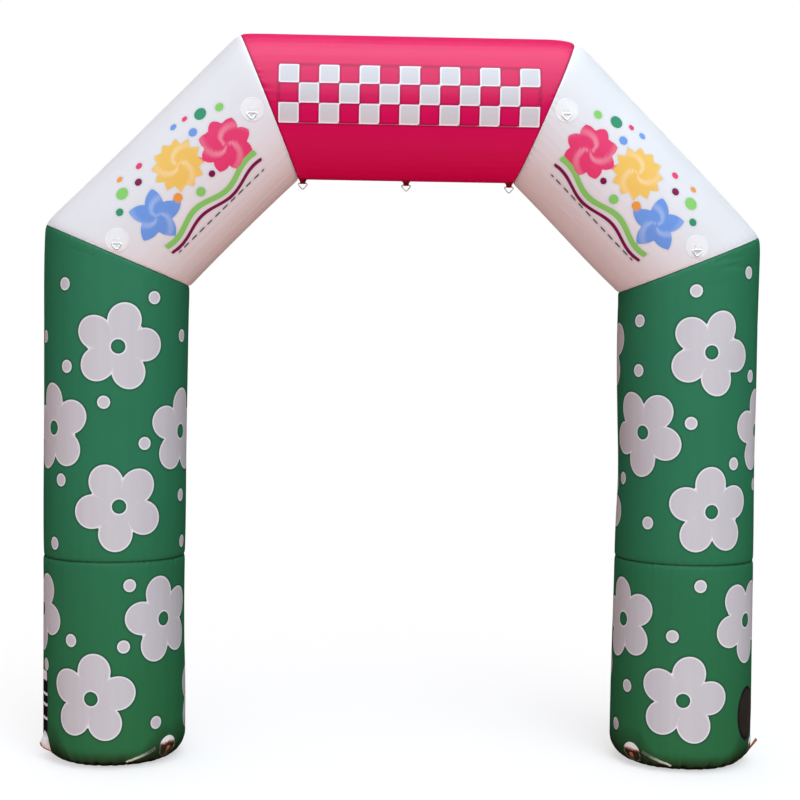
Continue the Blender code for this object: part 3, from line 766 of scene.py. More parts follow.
def shoulder_print(turn, along):
    """Distance outside the coloured prints of a shoulder, and the ink of the nearest one."""
    best = np.full(turn.shape, FAR)
    ink = np.zeros(turn.shape + (3,)) + np.array(INKS["pine"])

    def lay(gap, name, tint=0.0):
        nonlocal best, ink
        nearer = gap < best
        colour = np.array(INKS[name])
        colour = colour + (1.0 - colour) * np.clip(np.asarray(tint, float), 0.0, 1.0)[..., None]
        ink = np.where(nearer[..., None], colour, ink)
        best = np.where(nearer, gap, best)

    for face in (0.0, math.pi):
        up = up_the_face(turn, face, SHOULDER_R)
        for name, a, c, radius, points, depth, own, power in SHOULDER_STARS:
            x, y = along - a, up - c
            r = np.hypot(x, y)
            swirl = np.cos(3.0 * np.arctan2(y, x) + 34.0 * r)
            tint = np.clip(0.34 * (swirl - 0.35) * np.clip(1.3 - r / radius, 0.0, 1.0), 0.0, 0.5)
            lay(lobed(x, y, radius, points, depth, own, power), name, tint)
        for name, a, c, radius in SHOULDER_DOTS:
            lay(np.hypot(along - a, up - c) - radius, name)
        for name, base, half, swing in SHOULDER_RIBBONS:
            middle = base + swing * np.sin(along * 12.5)
            ends = np.maximum(0.30 - along, along - 1.20)
            lay(np.maximum(np.abs(up - middle) - half, ends), name)
        dash = np.abs(((along / DASH_PITCH) % 1.0) - 0.5) * DASH_PITCH - 0.026
        ends = np.maximum(0.335 - along, along - 1.165)
        lay(np.maximum(np.maximum(np.abs(up + 0.372) - 0.0065, dash), ends), "slate")
    return best, ink


# ---------------------------------------------------------------- materials

class Amount:
    """A value inside a material that takes part in Python arithmetic."""

    def __init__(self, finish, socket):
        self.finish = finish
        self.socket = socket

    def __add__(self, other):
        return self.finish.math("ADD", self, other)

    __radd__ = __add__

    def __mul__(self, other):
        return self.finish.math("MULTIPLY", self, other)

    __rmul__ = __mul__

    def __sub__(self, other):
        return self.finish.math("SUBTRACT", self, other)

    def __rsub__(self, other):
        return self.finish.math("SUBTRACT", other, self)

    def __truediv__(self, other):
        return self.finish.math("DIVIDE", self, other)


def new_node(tree, kind, settings=None, sockets=None):
    """A node with its settings made, and its sockets linked or given values."""
    made = tree.nodes.new(kind)
    for key, value in (settings or {}).items():
        setattr(made, key, value)
    for key, value in (sockets or {}).items():
        socket = made.inputs[key]
        if isinstance(value, Amount):
            value = value.socket
        if isinstance(value, bpy.types.NodeSocket):
            tree.links.new(value, socket)
        elif socket.type == "RGBA":
            socket.default_value = (*value, 1.0)
        else:
            socket.default_value = value
    return made


class Finish:
    """A material's nodes, made one at a time."""

    def __init__(self, name, tree=None):
        if tree is None:
            self.material = bpy.data.materials.new(name)
            self.material.use_nodes = True
            tree = self.material.node_tree
        self.tree = tree
        self.tree.nodes.clear()

    def node(self, kind, settings=None, sockets=None):
        return new_node(self.tree, kind, settings, sockets)

    def read(self, kind, output, settings=None, sockets=None):
        return Amount(self, self.node(kind, settings, sockets).outputs[output])

    def math(self, operation, *values, clamp=False):
        settings = {"operation": operation, "use_clamp": clamp}
        return self.read("ShaderNodeMath", 0, settings, dict(enumerate(values)))

    def clamp(self, value):
        return self.math("ADD", value, 0.0, clamp=True)

    def vector(self, operation, *values, output=0):
        return self.read("ShaderNodeVectorMath", output, {"operation": operation}, dict(enumerate(values)))

    def dim(self, colour, share):
        return self.read("ShaderNodeVectorMath", 0, {"operation": "SCALE"}, {0: colour, 3: share})

    def mix(self, share, first, second):
        return self.read("ShaderNodeMix", 2, {"data_type": "RGBA"}, {0: share, 6: first, 7: second})

    def noise(self, vector, scale, detail=2.0):
        return self.read("ShaderNodeTexNoise", 0, None,
                         {"Vector": vector, "Scale": scale, "Detail": detail, "Roughness": 0.5})

    def stretched(self, vector, scale):
        return self.read("ShaderNodeMapping", 0, None, {"Vector": vector, "Scale": scale})

    def parts(self, vector):
        return [Amount(self, out) for out in self.node("ShaderNodeSeparateXYZ", None, {0: vector}).outputs]

    def attribute(self, name, output):
        return self.read("ShaderNodeAttribute", output, {"attribute_name": name})

    def objects(self):
        return self.read("ShaderNodeTexCoord", "Object")

    def cloth_map(self):
        return self.read("ShaderNodeUVMap", 0, {"uv_map": "cloth"})

    def weave(self):
        """Height of a plain weave, from -1 to 1, by the cloth's own map."""
        across, along, _ = self.parts(self.cloth_map())
        turns = math.tau / WEAVE
        return self.math("SINE", across * turns) * self.math("SINE", along * turns)

    def bump(self, height):
        return self.read("ShaderNodeBump", 0, None, {"Strength": 1.0, "Distance": 1.0, "Height": height})

    def lobe(self, ways, towards, power, strength, colour):
        """Light that comes mostly from one way, gathered round it by a power."""
        towards = tuple(Vector(towards).normalized())
        facing = self.clamp(self.vector("DOT_PRODUCT", ways, towards, output=1))
        return self.dim(colour, self.math("POWER", facing, power) * strength)

    def show(self, shader, kind="ShaderNodeOutputMaterial"):
        self.tree.links.new(shader.outputs[0], self.node(kind).inputs["Surface"])

    def surface(self, sockets):
        self.show(self.node("ShaderNodeBsdfPrincipled", None, sockets))
        return self.material


def soft_edge(finish, gap, width):
    """1 inside a shape, 0 outside, from the distance outside it."""
    return finish.clamp(0.5 - gap / width)


def cloth_finish(name, colour, ink=None, own_ink=False, seam=(1.0, 1.0), soil_and_shade=0.0, rough=0.46, streak=0.05,
                 gloss=0.03):
    """Coated polyester cloth: fine weave, faint streaks, printed ink, and soil and painted shade near the
    ground.

    seam is how bright the cloth is at a seam and how far from it that fades; below 1 the cloth beside the
    seam is darkened as painted shade in its groove.
    """
    f = Finish(name)
    place = f.objects()
    weave = f.weave()
    streaks = f.noise(f.stretched(f.cloth_map(), (14.0, 0.7, 1.0)), 1.0, 3.0)
    patches = f.noise(place, 2.3, 3.0)
    level = 1.0 + (streaks - 0.5) * streak * 2.0 + (patches - 0.5) * 0.07 + weave * 0.018
    # Painted shade: the coloured cloth is darkened beside its seams as if shaded in their groove; the white
    # cloth is brightened there instead
    near = f.clamp(1.0 - f.attribute("seam", "Fac") / seam[1])
    level = level * (1.0 + near * (seam[0] - 1.0))
    tint = f.dim(colour, level)
    roughness = rough + (patches - 0.5) * 0.10 + weave * 0.02
    # Painted shade: lower down, the cloth is dimmed and warmed, as by light bounced off the ground
    if soil_and_shade:
        _, _, height = f.parts(place)
        low = f.clamp((2.1 - height) / 1.9)
        tint = f.vector("MULTIPLY", tint, f.mix(low, WHITE, WARM_GROUND_SHADE))
    if ink or own_ink:
        gap = f.attribute("print", "Fac")
        mask = soft_edge(f, gap, PRINT_EDGE)
        outline = soft_edge(f, gap - OUTLINE_OUT, OUTLINE_EDGE)
        tint = f.dim(tint, 1.0 - outline * (0.10 if own_ink else 0.45))
        if own_ink:
            laid_on = f.dim(f.attribute("ink", "Color"), 1.0 + (streaks - 0.5) * 0.08)
        else:
            rim = f.clamp(1.0 + (gap - 0.002) / bpy.context.scene.arch_prints.rim)
            laid_on = f.dim(ink, level * (1.0 + rim * 0.60))
        tint = f.mix(mask, tint, laid_on)
        roughness = roughness + mask * 0.05
    # Soil and painted shade: darker towards the floor, and higher up the sides as painted shade where less
    # light reaches them
    if soil_and_shade:
        across, _, _ = f.parts(f.cloth_map())
        aside = f.math("SINE", across / SHOULDER_R)
        reach = SOIL_AND_SHADE_UP + f.clamp((aside * aside - 0.25) * 4.0) * SIDE_SHADE_UP
        uneven = (f.noise(f.stretched(place, (9.0, 9.0, 2.2)), 1.0, 4.0) - 0.5) * 0.5
        dust = f.clamp((reach - height) / reach * 1.3 + uneven * f.clamp((reach - height) * 22.0))
        tint = f.mix(dust * soil_and_shade, tint, LOW_SOIL_AND_SHADE)
        roughness = roughness + dust * 0.2
    crumple = f.noise(place, 16.0, 3.0) * 0.0009 + f.noise(place, 60.0, 2.0) * 0.00012
    return f.surface({"Base Color": tint, "Roughness": roughness, "Specular IOR Level": gloss,
                      "Normal": f.bump(crumple + weave * 0.00005)})


def webbing_finish(name, colour, darkened=None):
    """Woven strap: ribs across it, and a darker colour coming in between two places along it, if any are
    given.
    """
    f = Finish(name)
    across, along, _ = f.parts(f.cloth_map())
    ribs = f.math("SINE", along * (math.tau / 0.0024))
    cords = f.math("SINE", across * (math.tau / 0.0040))
    wear = f.noise(f.objects(), 45.0, 3.0)
    level = 0.92 + ribs * 0.07 + cords * 0.03 + (wear - 0.5) * 0.22
    tint = f.dim(colour, level)
    # A darker colour from one place along the strap onward
    if darkened:
        first, last, darker_colour = darkened
        share = (along - first + (wear - 0.5) * 0.03) / (last - first)
        tint = f.mix(f.clamp(share), tint, f.dim(darker_colour, level))
    return f.surface({"Base Color": tint, "Roughness": 0.72 + (wear - 0.5) * 0.15,
                      "Sheen Weight": 0.15, "Specular IOR Level": 0.10,
                      "Normal": f.bump(ribs * 0.00022 + cords * 0.0001)})


def patch_finish(name, colour, darkened=False):
    """Doubled cloth patch, a little cleaner and smoother than the cloth it is sewn to."""
    f = Finish(name)
    weave = f.weave()
    wear = f.noise(f.objects(), 14.0, 3.0)
    level = 1.0 + (wear - 0.5) * 0.06 + weave * 0.02
    tint = f.dim(colour, level)
    if darkened:
        _, down, _ = f.parts(f.cloth_map())
        ragged = (f.noise(f.objects(), 38.0, 3.0) - 0.5) * 0.03
        # Bands that make the patch darker towards the floor
        for edge, fade, darker_colour in PATCH_LOW_BANDS:
            tint = f.mix(f.clamp((down + ragged + edge) / fade), tint, darker_colour)
    return f.surface({"Base Color": tint, "Roughness": 0.5 + (wear - 0.5) * 0.12,
                      "Specular IOR Level": 0.08,
                      "Normal": f.bump(weave * 0.00006 + f.noise(f.objects(), 30.0, 2.0) * 0.0006)})


def steel_finish(name):
    """Plated wire, lightly scratched."""
    f = Finish(name)
    scratch = f.noise(f.stretched(f.objects(), (60.0, 60.0, 900.0)), 1.0, 3.0)
    dull = f.noise(f.objects(), 70.0, 3.0)
    level = 0.62 + (scratch - 0.5) * 0.18 + (dull - 0.5) * 0.2
    return f.surface({"Base Color": f.dim((0.95, 0.97, 0.98), level), "Metallic": 0.40,
                      "Roughness": 0.36 + (dull - 0.5) * 0.2, "Normal": f.bump(scratch * 0.00008)})


def thread_finish(name, colour):
    """Sewing thread with a faint twist."""
    f = Finish(name)
    x, _, z = f.parts(f.objects())
    twist = f.math("SINE", x * 5200.0 + z * 5200.0)
    level = 0.95 + twist * 0.10 + (f.noise(f.objects(), 30.0) - 0.5) * 0.15
    return f.surface({"Base Color": f.dim(colour, level), "Roughness": 0.55 + twist * 0.04,
                      "Sheen Weight": 0.2, "Specular IOR Level": 0.10})


def plain_black(name, colour, rough=0.62):
    """Dark nylon of the net, the zip and the binding."""
    f = Finish(name)
    fleck = f.noise(f.objects(), 180.0, 2.0)
    dust = f.noise(f.objects(), 11.0, 3.0)
    level = 0.8 + fleck * 0.5 + dust * 0.6
    return f.surface({"Base Color": f.dim(colour, level), "Roughness": rough + (fleck - 0.5) * 0.25,
                      "Specular IOR Level": 0.03, "Normal": f.bump(fleck * 0.0003)})


# ---------------------------------------------------------------- node trees for what repeats

class Tree:
    """A geometry tree with named inputs."""

    def __init__(self, name, inputs):
        self.group = bpy.data.node_groups.new(name, "GeometryNodeTree")
        face = self.group.interface
        face.new_socket("Geometry", in_out="INPUT", socket_type="NodeSocketGeometry")
        self.ids = {}
        for label, kind in inputs:
            self.ids[label] = face.new_socket(label, in_out="INPUT", socket_type=kind).identifier
        face.new_socket("Geometry", in_out="OUTPUT", socket_type="NodeSocketGeometry")
        self.entry = self.group.nodes.new("NodeGroupInput").outputs
        self.exit = self.group.nodes.new("NodeGroupOutput").inputs

    def node(self, kind, settings=None, sockets=None):
        return new_node(self.group, kind, settings, sockets).outputs

    def result(self, socket, material):
        real = self.node("GeometryNodeRealizeInstances", None, {"Geometry": socket})
        dressed = self.node("GeometryNodeSetMaterial", None, {"Geometry": real[0], "Material": material})
        self.group.links.new(dressed[0], self.exit[0])


def grown(tree, mesh, values):
    """The plain mesh that a tree makes of a mesh."""
    holder = bpy.data.objects.new("holder", mesh)
    bpy.context.scene.collection.objects.link(holder)
    modifier = holder.modifiers.new("grow", "NODES")
    modifier.node_group = tree.group
    for label, value in values.items():
        modifier[tree.ids[label]] = value
    bpy.context.view_layer.update()
    evaluated = holder.evaluated_get(bpy.context.evaluated_depsgraph_get())
    made = bpy.data.meshes.new_from_object(evaluated)
    holder.modifiers.remove(modifier)
    bpy.data.objects.remove(holder)
    bpy.data.meshes.remove(mesh)
    return made


def path_mesh(paths):
    """Lines as loose edges: each path is (points, closed)."""
    points, edges = [], []
    for line, closed in paths:
        start = len(points)
        points += [tuple(p) for p in line]
        edges += [(start + i, start + i + 1) for i in range(len(line) - 1)]
        if closed:
            edges.append((len(points) - 1, start))
    mesh = bpy.data.meshes.new("paths")
    mesh.from_pydata(points, edges, [])
    return mesh


def stitch_tree():
    """Stitches of one size, evenly along paths."""
    tree = Tree("stitches", (("Pitch", "NodeSocketFloat"), ("Length", "NodeSocketFloat"),
                             ("Thread", "NodeSocketFloat"), ("Material", "NodeSocketMaterial")))
    source = tree.entry
    curve = tree.node("GeometryNodeMeshToCurve", None, {"Mesh": source["Geometry"]})
    points = tree.node("GeometryNodeCurveToPoints", {"mode": "LENGTH"},
                       {"Curve": curve[0], "Length": source["Pitch"]})
    turned = tree.node("FunctionNodeAlignRotationToVector", {"axis": "Z"}, {"Vector": points["Tangent"]})
    grain = tree.node("GeometryNodeMeshUVSphere", None, {"Segments": 4, "Rings": 4, "Radius": 0.5})
    size = tree.node("ShaderNodeCombineXYZ", None,
                     {"X": source["Thread"], "Y": source["Thread"], "Z": source["Length"]})
    laid = tree.node("GeometryNodeInstanceOnPoints", None,
                     {"Points": points["Points"], "Instance": grain["Mesh"], "Rotation": turned[0],
                      "Scale": size[0]})
    tree.result(laid[0], source["Material"])
    return tree


def tube_tree():
    """A round wire or cord along paths."""
    tree = Tree("wires", (("Step", "NodeSocketFloat"), ("Radius", "NodeSocketFloat"),
                          ("Sides", "NodeSocketInt"), ("Material", "NodeSocketMaterial")))
    source = tree.entry
    curve = tree.node("GeometryNodeMeshToCurve", None, {"Mesh": source["Geometry"]})
    even = tree.node("GeometryNodeResampleCurve", {"mode": "LENGTH"},
                     {"Curve": curve[0], "Length": source["Step"]})
    profile = tree.node("GeometryNodeCurvePrimitiveCircle", {"mode": "RADIUS"},
                        {"Resolution": source["Sides"], "Radius": source["Radius"]})
    wire = tree.node("GeometryNodeCurveToMesh", None,
                     {"Curve": even[0], "Profile Curve": profile["Curve"], "Fill Caps": True})
    tree.result(wire[0], source["Material"])
    return tree


# ---------------------------------------------------------------- shared makers

STORE = {}


def looks():
    """Sections, trees and finishes that several operators share, made once."""
    if STORE:
        return STORE
    colours = bpy.context.scene.arch_colours
    ink, white, orange = tuple(colours.ink), tuple(colours.white_web), tuple(colours.orange_web)
    STORE["sections"] = make_sections()
    STORE["stitches"] = stitch_tree()
    STORE["wires"] = tube_tree()
    # A seam value below 1 darkens the cloth beside its seams as painted shade; soil_and_shade sets how much
    # soil and painted shade darken it near the ground
    STORE["leg"] = cloth_finish("printed_green_cloth", tuple(colours.legs), ink, seam=(0.34, 0.014),
                                soil_and_shade=0.85)
    STORE["shoulder"] = cloth_finish("printed_white_cloth", tuple(colours.shoulders), own_ink=True,
                                     seam=(1.24, 0.015), streak=0.02, gloss=0.025)
    STORE["beam"] = cloth_finish("printed_crimson_cloth", tuple(colours.beam), ink, seam=(0.36, 0.015),
                                 rough=0.42, gloss=0.055)
    STORE["base"] = cloth_finish("dark_base_cloth", tuple(colours.base), seam=(0.8, 0.01), soil_and_shade=0.4)
    STORE["patch"] = patch_finish("white_patch_cloth", tuple(PATCH_GREY * c for c in white))
    STORE["foot_patch"] = patch_finish("banded_patch_cloth", white, darkened=True)
    STORE["white_web"] = webbing_finish("white_webbing", white)
    STORE["worn_web"] = webbing_finish("worn_white_webbing", (0.60, 0.78, 0.62),
                                       darkened=(0.070, 0.170, (0.085, 0.110, 0.075)))
    STORE["red_web"] = webbing_finish("dark_red_webbing", tuple(colours.red_web))
    STORE["orange_web"] = webbing_finish("orange_webbing", orange)
    STORE["darkened_web"] = webbing_finish("darkened_orange_webbing", orange,
                                         darkened=(0.012, 0.040, (0.045, 0.040, 0.014)))
    STORE["steel"] = steel_finish("plated_wire")
    STORE["net"] = plain_black("black_net", (0.0190, 0.0140, 0.0105))
    STORE["black_web"] = plain_black("black_binding", (0.0120, 0.0012, 0.0085), 0.6)
    for name, colour in (("white", (0.80, 0.79, 0.80)), ("green", (0.020, 0.120, 0.058)),
                         ("red", (0.420, 0.004, 0.030)), ("black", (0.02, 0.02, 0.022))):
        STORE[f"{name}_thread"] = thread_finish(f"{name}_thread", colour)
    return STORE


def sewn(name, paths, finish):
    """A piece of stitches along paths, each (points, closed)."""
    sewing = bpy.context.scene.arch_sewing
    made = grown(looks()["stitches"], path_mesh(paths),
                 {"Pitch": sewing.pitch, "Length": sewing.length, "Thread": sewing.thread,
                  "Material": looks()[finish]})
    return finished(name, made, finish, sharp=80.0)


def wire(paths, finish, step, radius, sides):
    """A mesh of round wire or cord along paths, each (points, closed)."""
    return grown(looks()["wires"], path_mesh(paths),
                 {"Step": step, "Radius": radius, "Sides": sides, "Material": looks()[finish]})


def circle(radius, segments):
    """Two arrays: how far across and along each point of a circle lies."""
    turns = np.arange(segments) * (math.tau / segments)
    return radius * np.cos(turns), radius * np.sin(turns)


def circle_on(skin, centre, radius, lift, segments=RIM_SEGMENTS):
    """Points of a circle laid on a skin."""
    x, y = circle(radius, segments)
    return skin(centre[0] + x, centre[1] + y, lift)


def laid(skin, across, along, lift):
    """Points of a line laid on a skin, and which way is out at each."""
    across, along = np.broadcast_arrays(np.asarray(across, float), np.asarray(along, float))
    points = skin(across, along, lift)
    return points, unit(skin(across, along, lift + 0.001) - points)


def tent(distance, reach, pull):
    """How far a pulled patch stands off its cloth, by distance from its middle."""
    share = np.clip(1.0 - np.abs(distance) / reach, 0.0, 1.0)
    return pull * share * share * (3 - 2 * share)


def disc_on(name, skin, centre, radius, thickness, finish, node, rings=14, hem=HEM, pull=0.0):
    """A round of cloth laid on a skin, with a hemmed edge; a pull draws its middle out like a tent."""
    flat = radius - hem
    radii = np.concatenate([np.linspace(0.0, flat, rings)[1:], radius - hem * HEM_STEPS])
    heights = np.full(len(radii), thickness)
    heights[-len(HEM_HEIGHTS):] = thickness * HEM_HEIGHTS
    layers = [(r, SKIN_LIFT + h) for r, h in zip(radii, heights)] + [(r, SKIN_LIFT) for r in radii[::-1]]
    rows = [circle_on(skin, centre, r, lift + tent(r, flat, pull), DISC_SEGMENTS) for r, lift in layers]
    hubs = [skin(np.array([centre[0]]), np.array([centre[1]]), lift)
            for lift in (SKIN_LIFT + thickness + pull, SKIN_LIFT + pull)]
    uvs = [np.stack(circle(r, DISC_SEGMENTS), axis=1) for r, _ in layers] + [np.zeros((2, 2))]
    mesh = mesh_from(np.concatenate(rows + hubs), capped(len(rows), DISC_SEGMENTS), np.concatenate(uvs))
    return finished(name, mesh, finish, node, sharp=50.0)


def round_patch(key, skin, centre, finish, node, pull=0.0):
    """A round reinforcing patch sewn to a section's cloth; gives its rows of stitches."""
    patch = disc_on(f"round_patch_{key}", skin, centre, PATCH_R, PATCH_T, finish, node,
                    pull=pull)
    lift = SKIN_LIFT + PATCH_T * 1.2
    return [(circle_on(skin, centre, PATCH_R - inset, lift), True) for inset in HEM_ROWS]


def strap(name, line, side, across, width, thickness, finish, node=None, columns=8):
    """A flat strap with rounded edges along a line: side points out of its face, across along its width."""
    line, side, across = (np.asarray(a, float) for a in (line, side, across))
    line, side, across = np.broadcast_arrays(line, side, across)
    widths = np.broadcast_to(width, len(line))
    width = float(widths.max())
    u = np.linspace(-0.5, 0.5, columns + 1)
    edge = np.clip((0.5 - np.abs(u)) * width / (thickness * 0.5), 0.0, 1.0)
    swell = 0.45 + 0.55 * np.sqrt(1.0 - (1.0 - edge) ** 2)
    section = [(a, s) for a, s in zip(u, swell)] + [(a, -s) for a, s in zip(u[::-1], swell[::-1])]
    steps = np.concatenate([[0.0], np.cumsum(np.linalg.norm(np.diff(line, axis=0), axis=1))])
    rows, uvs = [], []
    for p, n, a, v, w in zip(line, side, across, steps, widths):
        rows.append([p + a * w * x + n * thickness * 0.5 * s for x, s in section])
        uvs.append([(x * w, v) for x, s in section])
    count = len(section)
    end = len(rows) * count
    faces = wrap(len(rows), count) + [tuple(range(count))[::-1], tuple(range(end - count, end))]
    return finished(name, mesh_from(rows, faces, uvs), finish, node, sharp=50.0)


def box_stitch(centre, along, across, width):
    """A sewn box with a cross in it."""
    c, a, b = np.asarray(centre), np.asarray(along) * BOX_LENGTH / 2, np.asarray(across) * width / 2
    corners = np.array([c - a - b, c + a - b, c + a + b, c - a + b])
    return [(corners, True), (corners[[0, 2]], False), (corners[[1, 3]], False)]


# ---------------------------------------------------------------- operators

class ARCH_OT_legs(bpy.types.Operator):
    """Blown-up green legs with their flower prints and the dark panels under the feet"""

    bl_idname = "arch.legs"
    bl_label = "Legs"

    def execute(self, context):
        sections = looks()["sections"]
        rounding = np.linspace(BASE_SEAM + 0.0005, FOOT_ROUND, 22)[:-1]
        under = BASE_FLAT - np.linspace(0.0, 0.30, 9)[:0:-1]
        base_rows = np.concatenate([under, np.linspace(BASE_FLAT, BASE_SEAM - 0.0005, 16)])
        for side in SIDES:
            lower, upper = sections[f"leg_lower_{side}"], sections[f"leg_upper_{side}"]
            seam = LEG_SEAM_Z[side]
            lower_rows = np.concatenate([rounding, seam_places(FOOT_ROUND, seam - GAP / 2, near_low=False)])
            upper_rows = np.union1d(seam_places(0.0, upper.length), upper.length - CREASED_ROWS)
            cloth_body(f"leg_cloth_lower_{side}", lower, lower_rows, (seam, BASE_SEAM), "leg",
                       f"leg_lower_{side}",
                       lambda turn, place, points: (leg_print(side, turn, place), None))
            cloth_body(f"leg_cloth_upper_{side}", upper, upper_rows, (0.0, upper.length), "leg",
                       f"leg_upper_{side}",
                       lambda turn, place, points: (leg_print(side, turn, points[:, 2]), None))
            cloth_body(f"base_cloth_{side}", lower, base_rows, (BASE_SEAM,), "base", f"base_{side}",
                       lambda turn, place, points: (np.full(len(turn), FAR), None))
        return {"FINISHED"}


class ARCH_OT_shoulders(bpy.types.Operator):
    """Mitred white shoulders with their coloured prints"""

    bl_idname = "arch.shoulders"
    bl_label = "Shoulders"

    def execute(self, context):
        for side in SIDES:
            section = looks()["sections"][f"shoulder_{side}"]

            def printed(turn, place, points):
                return shoulder_print(turn, (points - section.start) @ section.axis)

            cloth_body(f"shoulder_cloth_{side}", section, seam_places(0.0, section.length),
                       (0.0, section.length), "shoulder", f"shoulder_{side}", printed)
        return {"FINISHED"}


class ARCH_OT_beam(bpy.types.Operator):
    """Crimson beam with its chequered band"""

    bl_idname = "arch.beam"
    bl_label = "Beam"

    def execute(self, context):
        section = looks()["sections"]["beam"]
        cloth_body("beam_cloth", section, seam_places(0.0, section.length), (0.0, section.length), "beam",
                   "beam", lambda turn, place, points: (beam_print(turn, points[:, 0]), None))
        return {"FINISHED"}


class ARCH_OT_seams(bpy.types.Operator):
    """Rows of stitches beside every seam of the sections"""

    bl_idname = "arch.seams"
    bl_label = "Seam stitches"

    def execute(self, context):
        made = looks()["sections"]
        turns = np.arange(ROUND) * (math.tau / ROUND)

        def row(section, place):
            return section.point(turns, np.full(ROUND, place), STITCH_UP), True

        white, green = [], []
        for side in SIDES:
            shoulder, upper = made[f"shoulder_{side}"], made[f"leg_upper_{side}"]
            lower = made[f"leg_lower_{side}"]
            near, far = SHOULDER_ROWS
            white += [row(shoulder, d) for d in (near, far, shoulder.length - far, shoulder.length - near)]
            near, far = LEG_ROWS
            green += [row(upper, upper.length - near), row(upper, far)]
            green += [row(lower, lower.seam - far), row(lower, BASE_SEAM + far)]
        beam = made["beam"]
        sewn("stitches_shoulder_seams", white, "white_thread")
        sewn("stitches_leg_seams", green, "green_thread")
        sewn("stitches_beam_seams", [row(beam, BEAM_ROW), row(beam, beam.length - BEAM_ROW)], "red_thread")
        return {"FINISHED"}


def ring_line(bar):
    """Centre line of a wire ring that hangs from its straight bar: the hull of three circles."""
    circles = ((RING_HALF - RING_CORNER, -RING_CORNER, RING_CORNER),
               (RING_CORNER - RING_HALF, -RING_CORNER, RING_CORNER),
               (0.0, RING_FOOT - RING_DROP, RING_FOOT))
    line = []
    for k in range(RING_STEPS):
        t = math.tau * (k + 0.5) / RING_STEPS
        x, z, r = max(circles, key=lambda c: c[0] * math.cos(t) + c[1] * math.sin(t) + c[2])
        line.append((bar[0] + x + r * math.cos(t), bar[1], bar[2] + z + r * math.sin(t)))
    return np.array(line)


def ring(name, bar, node):
    """A wire ring that hangs from the middle of its straight bar."""
    made = wire([(ring_line(bar), True)], "steel", step=0.0016, radius=RING_WIRE, sides=14)
    return finished(name, facing_out(made), "steel", node)


def arc_points(centre, radius, start, end, steps):
    """Points of an arc in a plane, by its turns in degrees."""
    turns = np.radians(np.linspace(start, end, steps))
    return [(centre[0] + radius * math.cos(t), centre[1] + radius * math.sin(t)) for t in turns]


def line_sides(flat):
    """Unit normals to the left of a flat line of points."""
    run = unit(np.gradient(flat, axis=0))
    return np.stack([-run[:, 1], run[:, 0]], axis=1)


def eased(line, rounds=3):
    """The same line with its corners rounded off."""
    for _ in range(rounds):
        line[1:-1] = (line[:-2] + 2 * line[1:-1] + line[2:]) / 4
    return line


def smooth_line(corners, rounds):
    """A line through corners, evenly spaced and eased round them."""
    corners = np.asarray(corners, float)
    far = np.concatenate([[0.0], np.cumsum(np.linalg.norm(np.diff(corners, axis=0), axis=1))])
    at = np.linspace(0.0, far[-1], max(3, int(far[-1] / FOLD_STEP)))
    return eased(np.stack([np.interp(at, far, corners[:, k]) for k in range(2)], axis=1), rounds)


def folded_tab(name, x, corners, width, rounds, finish, node):
    """Webbing folded across the beam's way: corners are its (y, z) points, width its width by height."""
    flat = smooth_line(corners, rounds)
    line = np.insert(flat, 0, x, axis=1)
    normals = np.insert(line_sides(flat), 0, 0.0, axis=1)
    strap(name, line, normals, (1.0, 0.0, 0.0), width(flat[:, 1]), WEB_T, finish, node)


class ARCH_OT_beam_fittings(bpy.types.Operator):
    """Dark red webbing tabs under the beam, folded round wire rings"""

    bl_idname = "arch.beam_fittings"
    bl_label = "Beam tabs and rings"

    def execute(self, context):
        beam = looks()["sections"]["beam"]
        below = np.array([-math.pi / 2])
        middle = LOOP_OUT - WEB_T / 2
        stem = WEB_T / 2 + 0.0001
        meet = math.degrees(math.asin(stem / middle))
        stitches = []
        for place, x in (("left", -BEAM_TAB_X), ("middle", 0.0), ("right", BEAM_TAB_X)):
            bar_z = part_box(f"beam_tab_{place}")[0].z + LOOP_OUT
            under = beam.point(below, beam.place_of(below, x + beam.length / 2))
            top = float(under[0, 2]) - SKIN_LIFT - WEB_T / 2
            seat = BEAM_Z - top
            ear = [(-y, top + seat * (1 - math.cos(y / seat))) for y in np.linspace(BEAM_EAR, 0.006, 8)]
            left = ear + [(-0.0035, top - 0.0012), (-stem, top - 0.006), (-stem, top - 0.012)]
            right = [(-y, z) for y, z in reversed(left)]
            loop = arc_points((0.0, bar_z), middle, 90 + meet, 450 - meet, 40)

            def width(z):
                return TAB_W + TAB_FLARE * np.clip((z - bar_z - 0.012) / (top - bar_z - 0.012), 0.0, 1.0)

            folded_tab(f"beam_webbing_{place}", x, left + loop + right, width, 4, "red_web",
                       f"beam_tab_{place}")
            ring(f"wire_ring_beam_{place}", (x, 0.0, bar_z), f"beam_ring_{place}")
            face = top - WEB_T / 2 + seat * (1 - math.cos(0.018 / seat)) - STITCH_UP
            for y in (-1.0, 1.0):
                stitches += box_stitch((x, y * 0.018, face), (0, 1, 0), (1, 0, 0), BEAM_BOX_W)
                stitches.append((np.array([(x + run, y * (WEB_T + 0.0005), bar_z + 0.0105)
                                           for run in (-0.017, 0.017)]), False))
        sewn("stitches_beam_tabs", stitches, "red_thread")
        return {"FINISHED"}


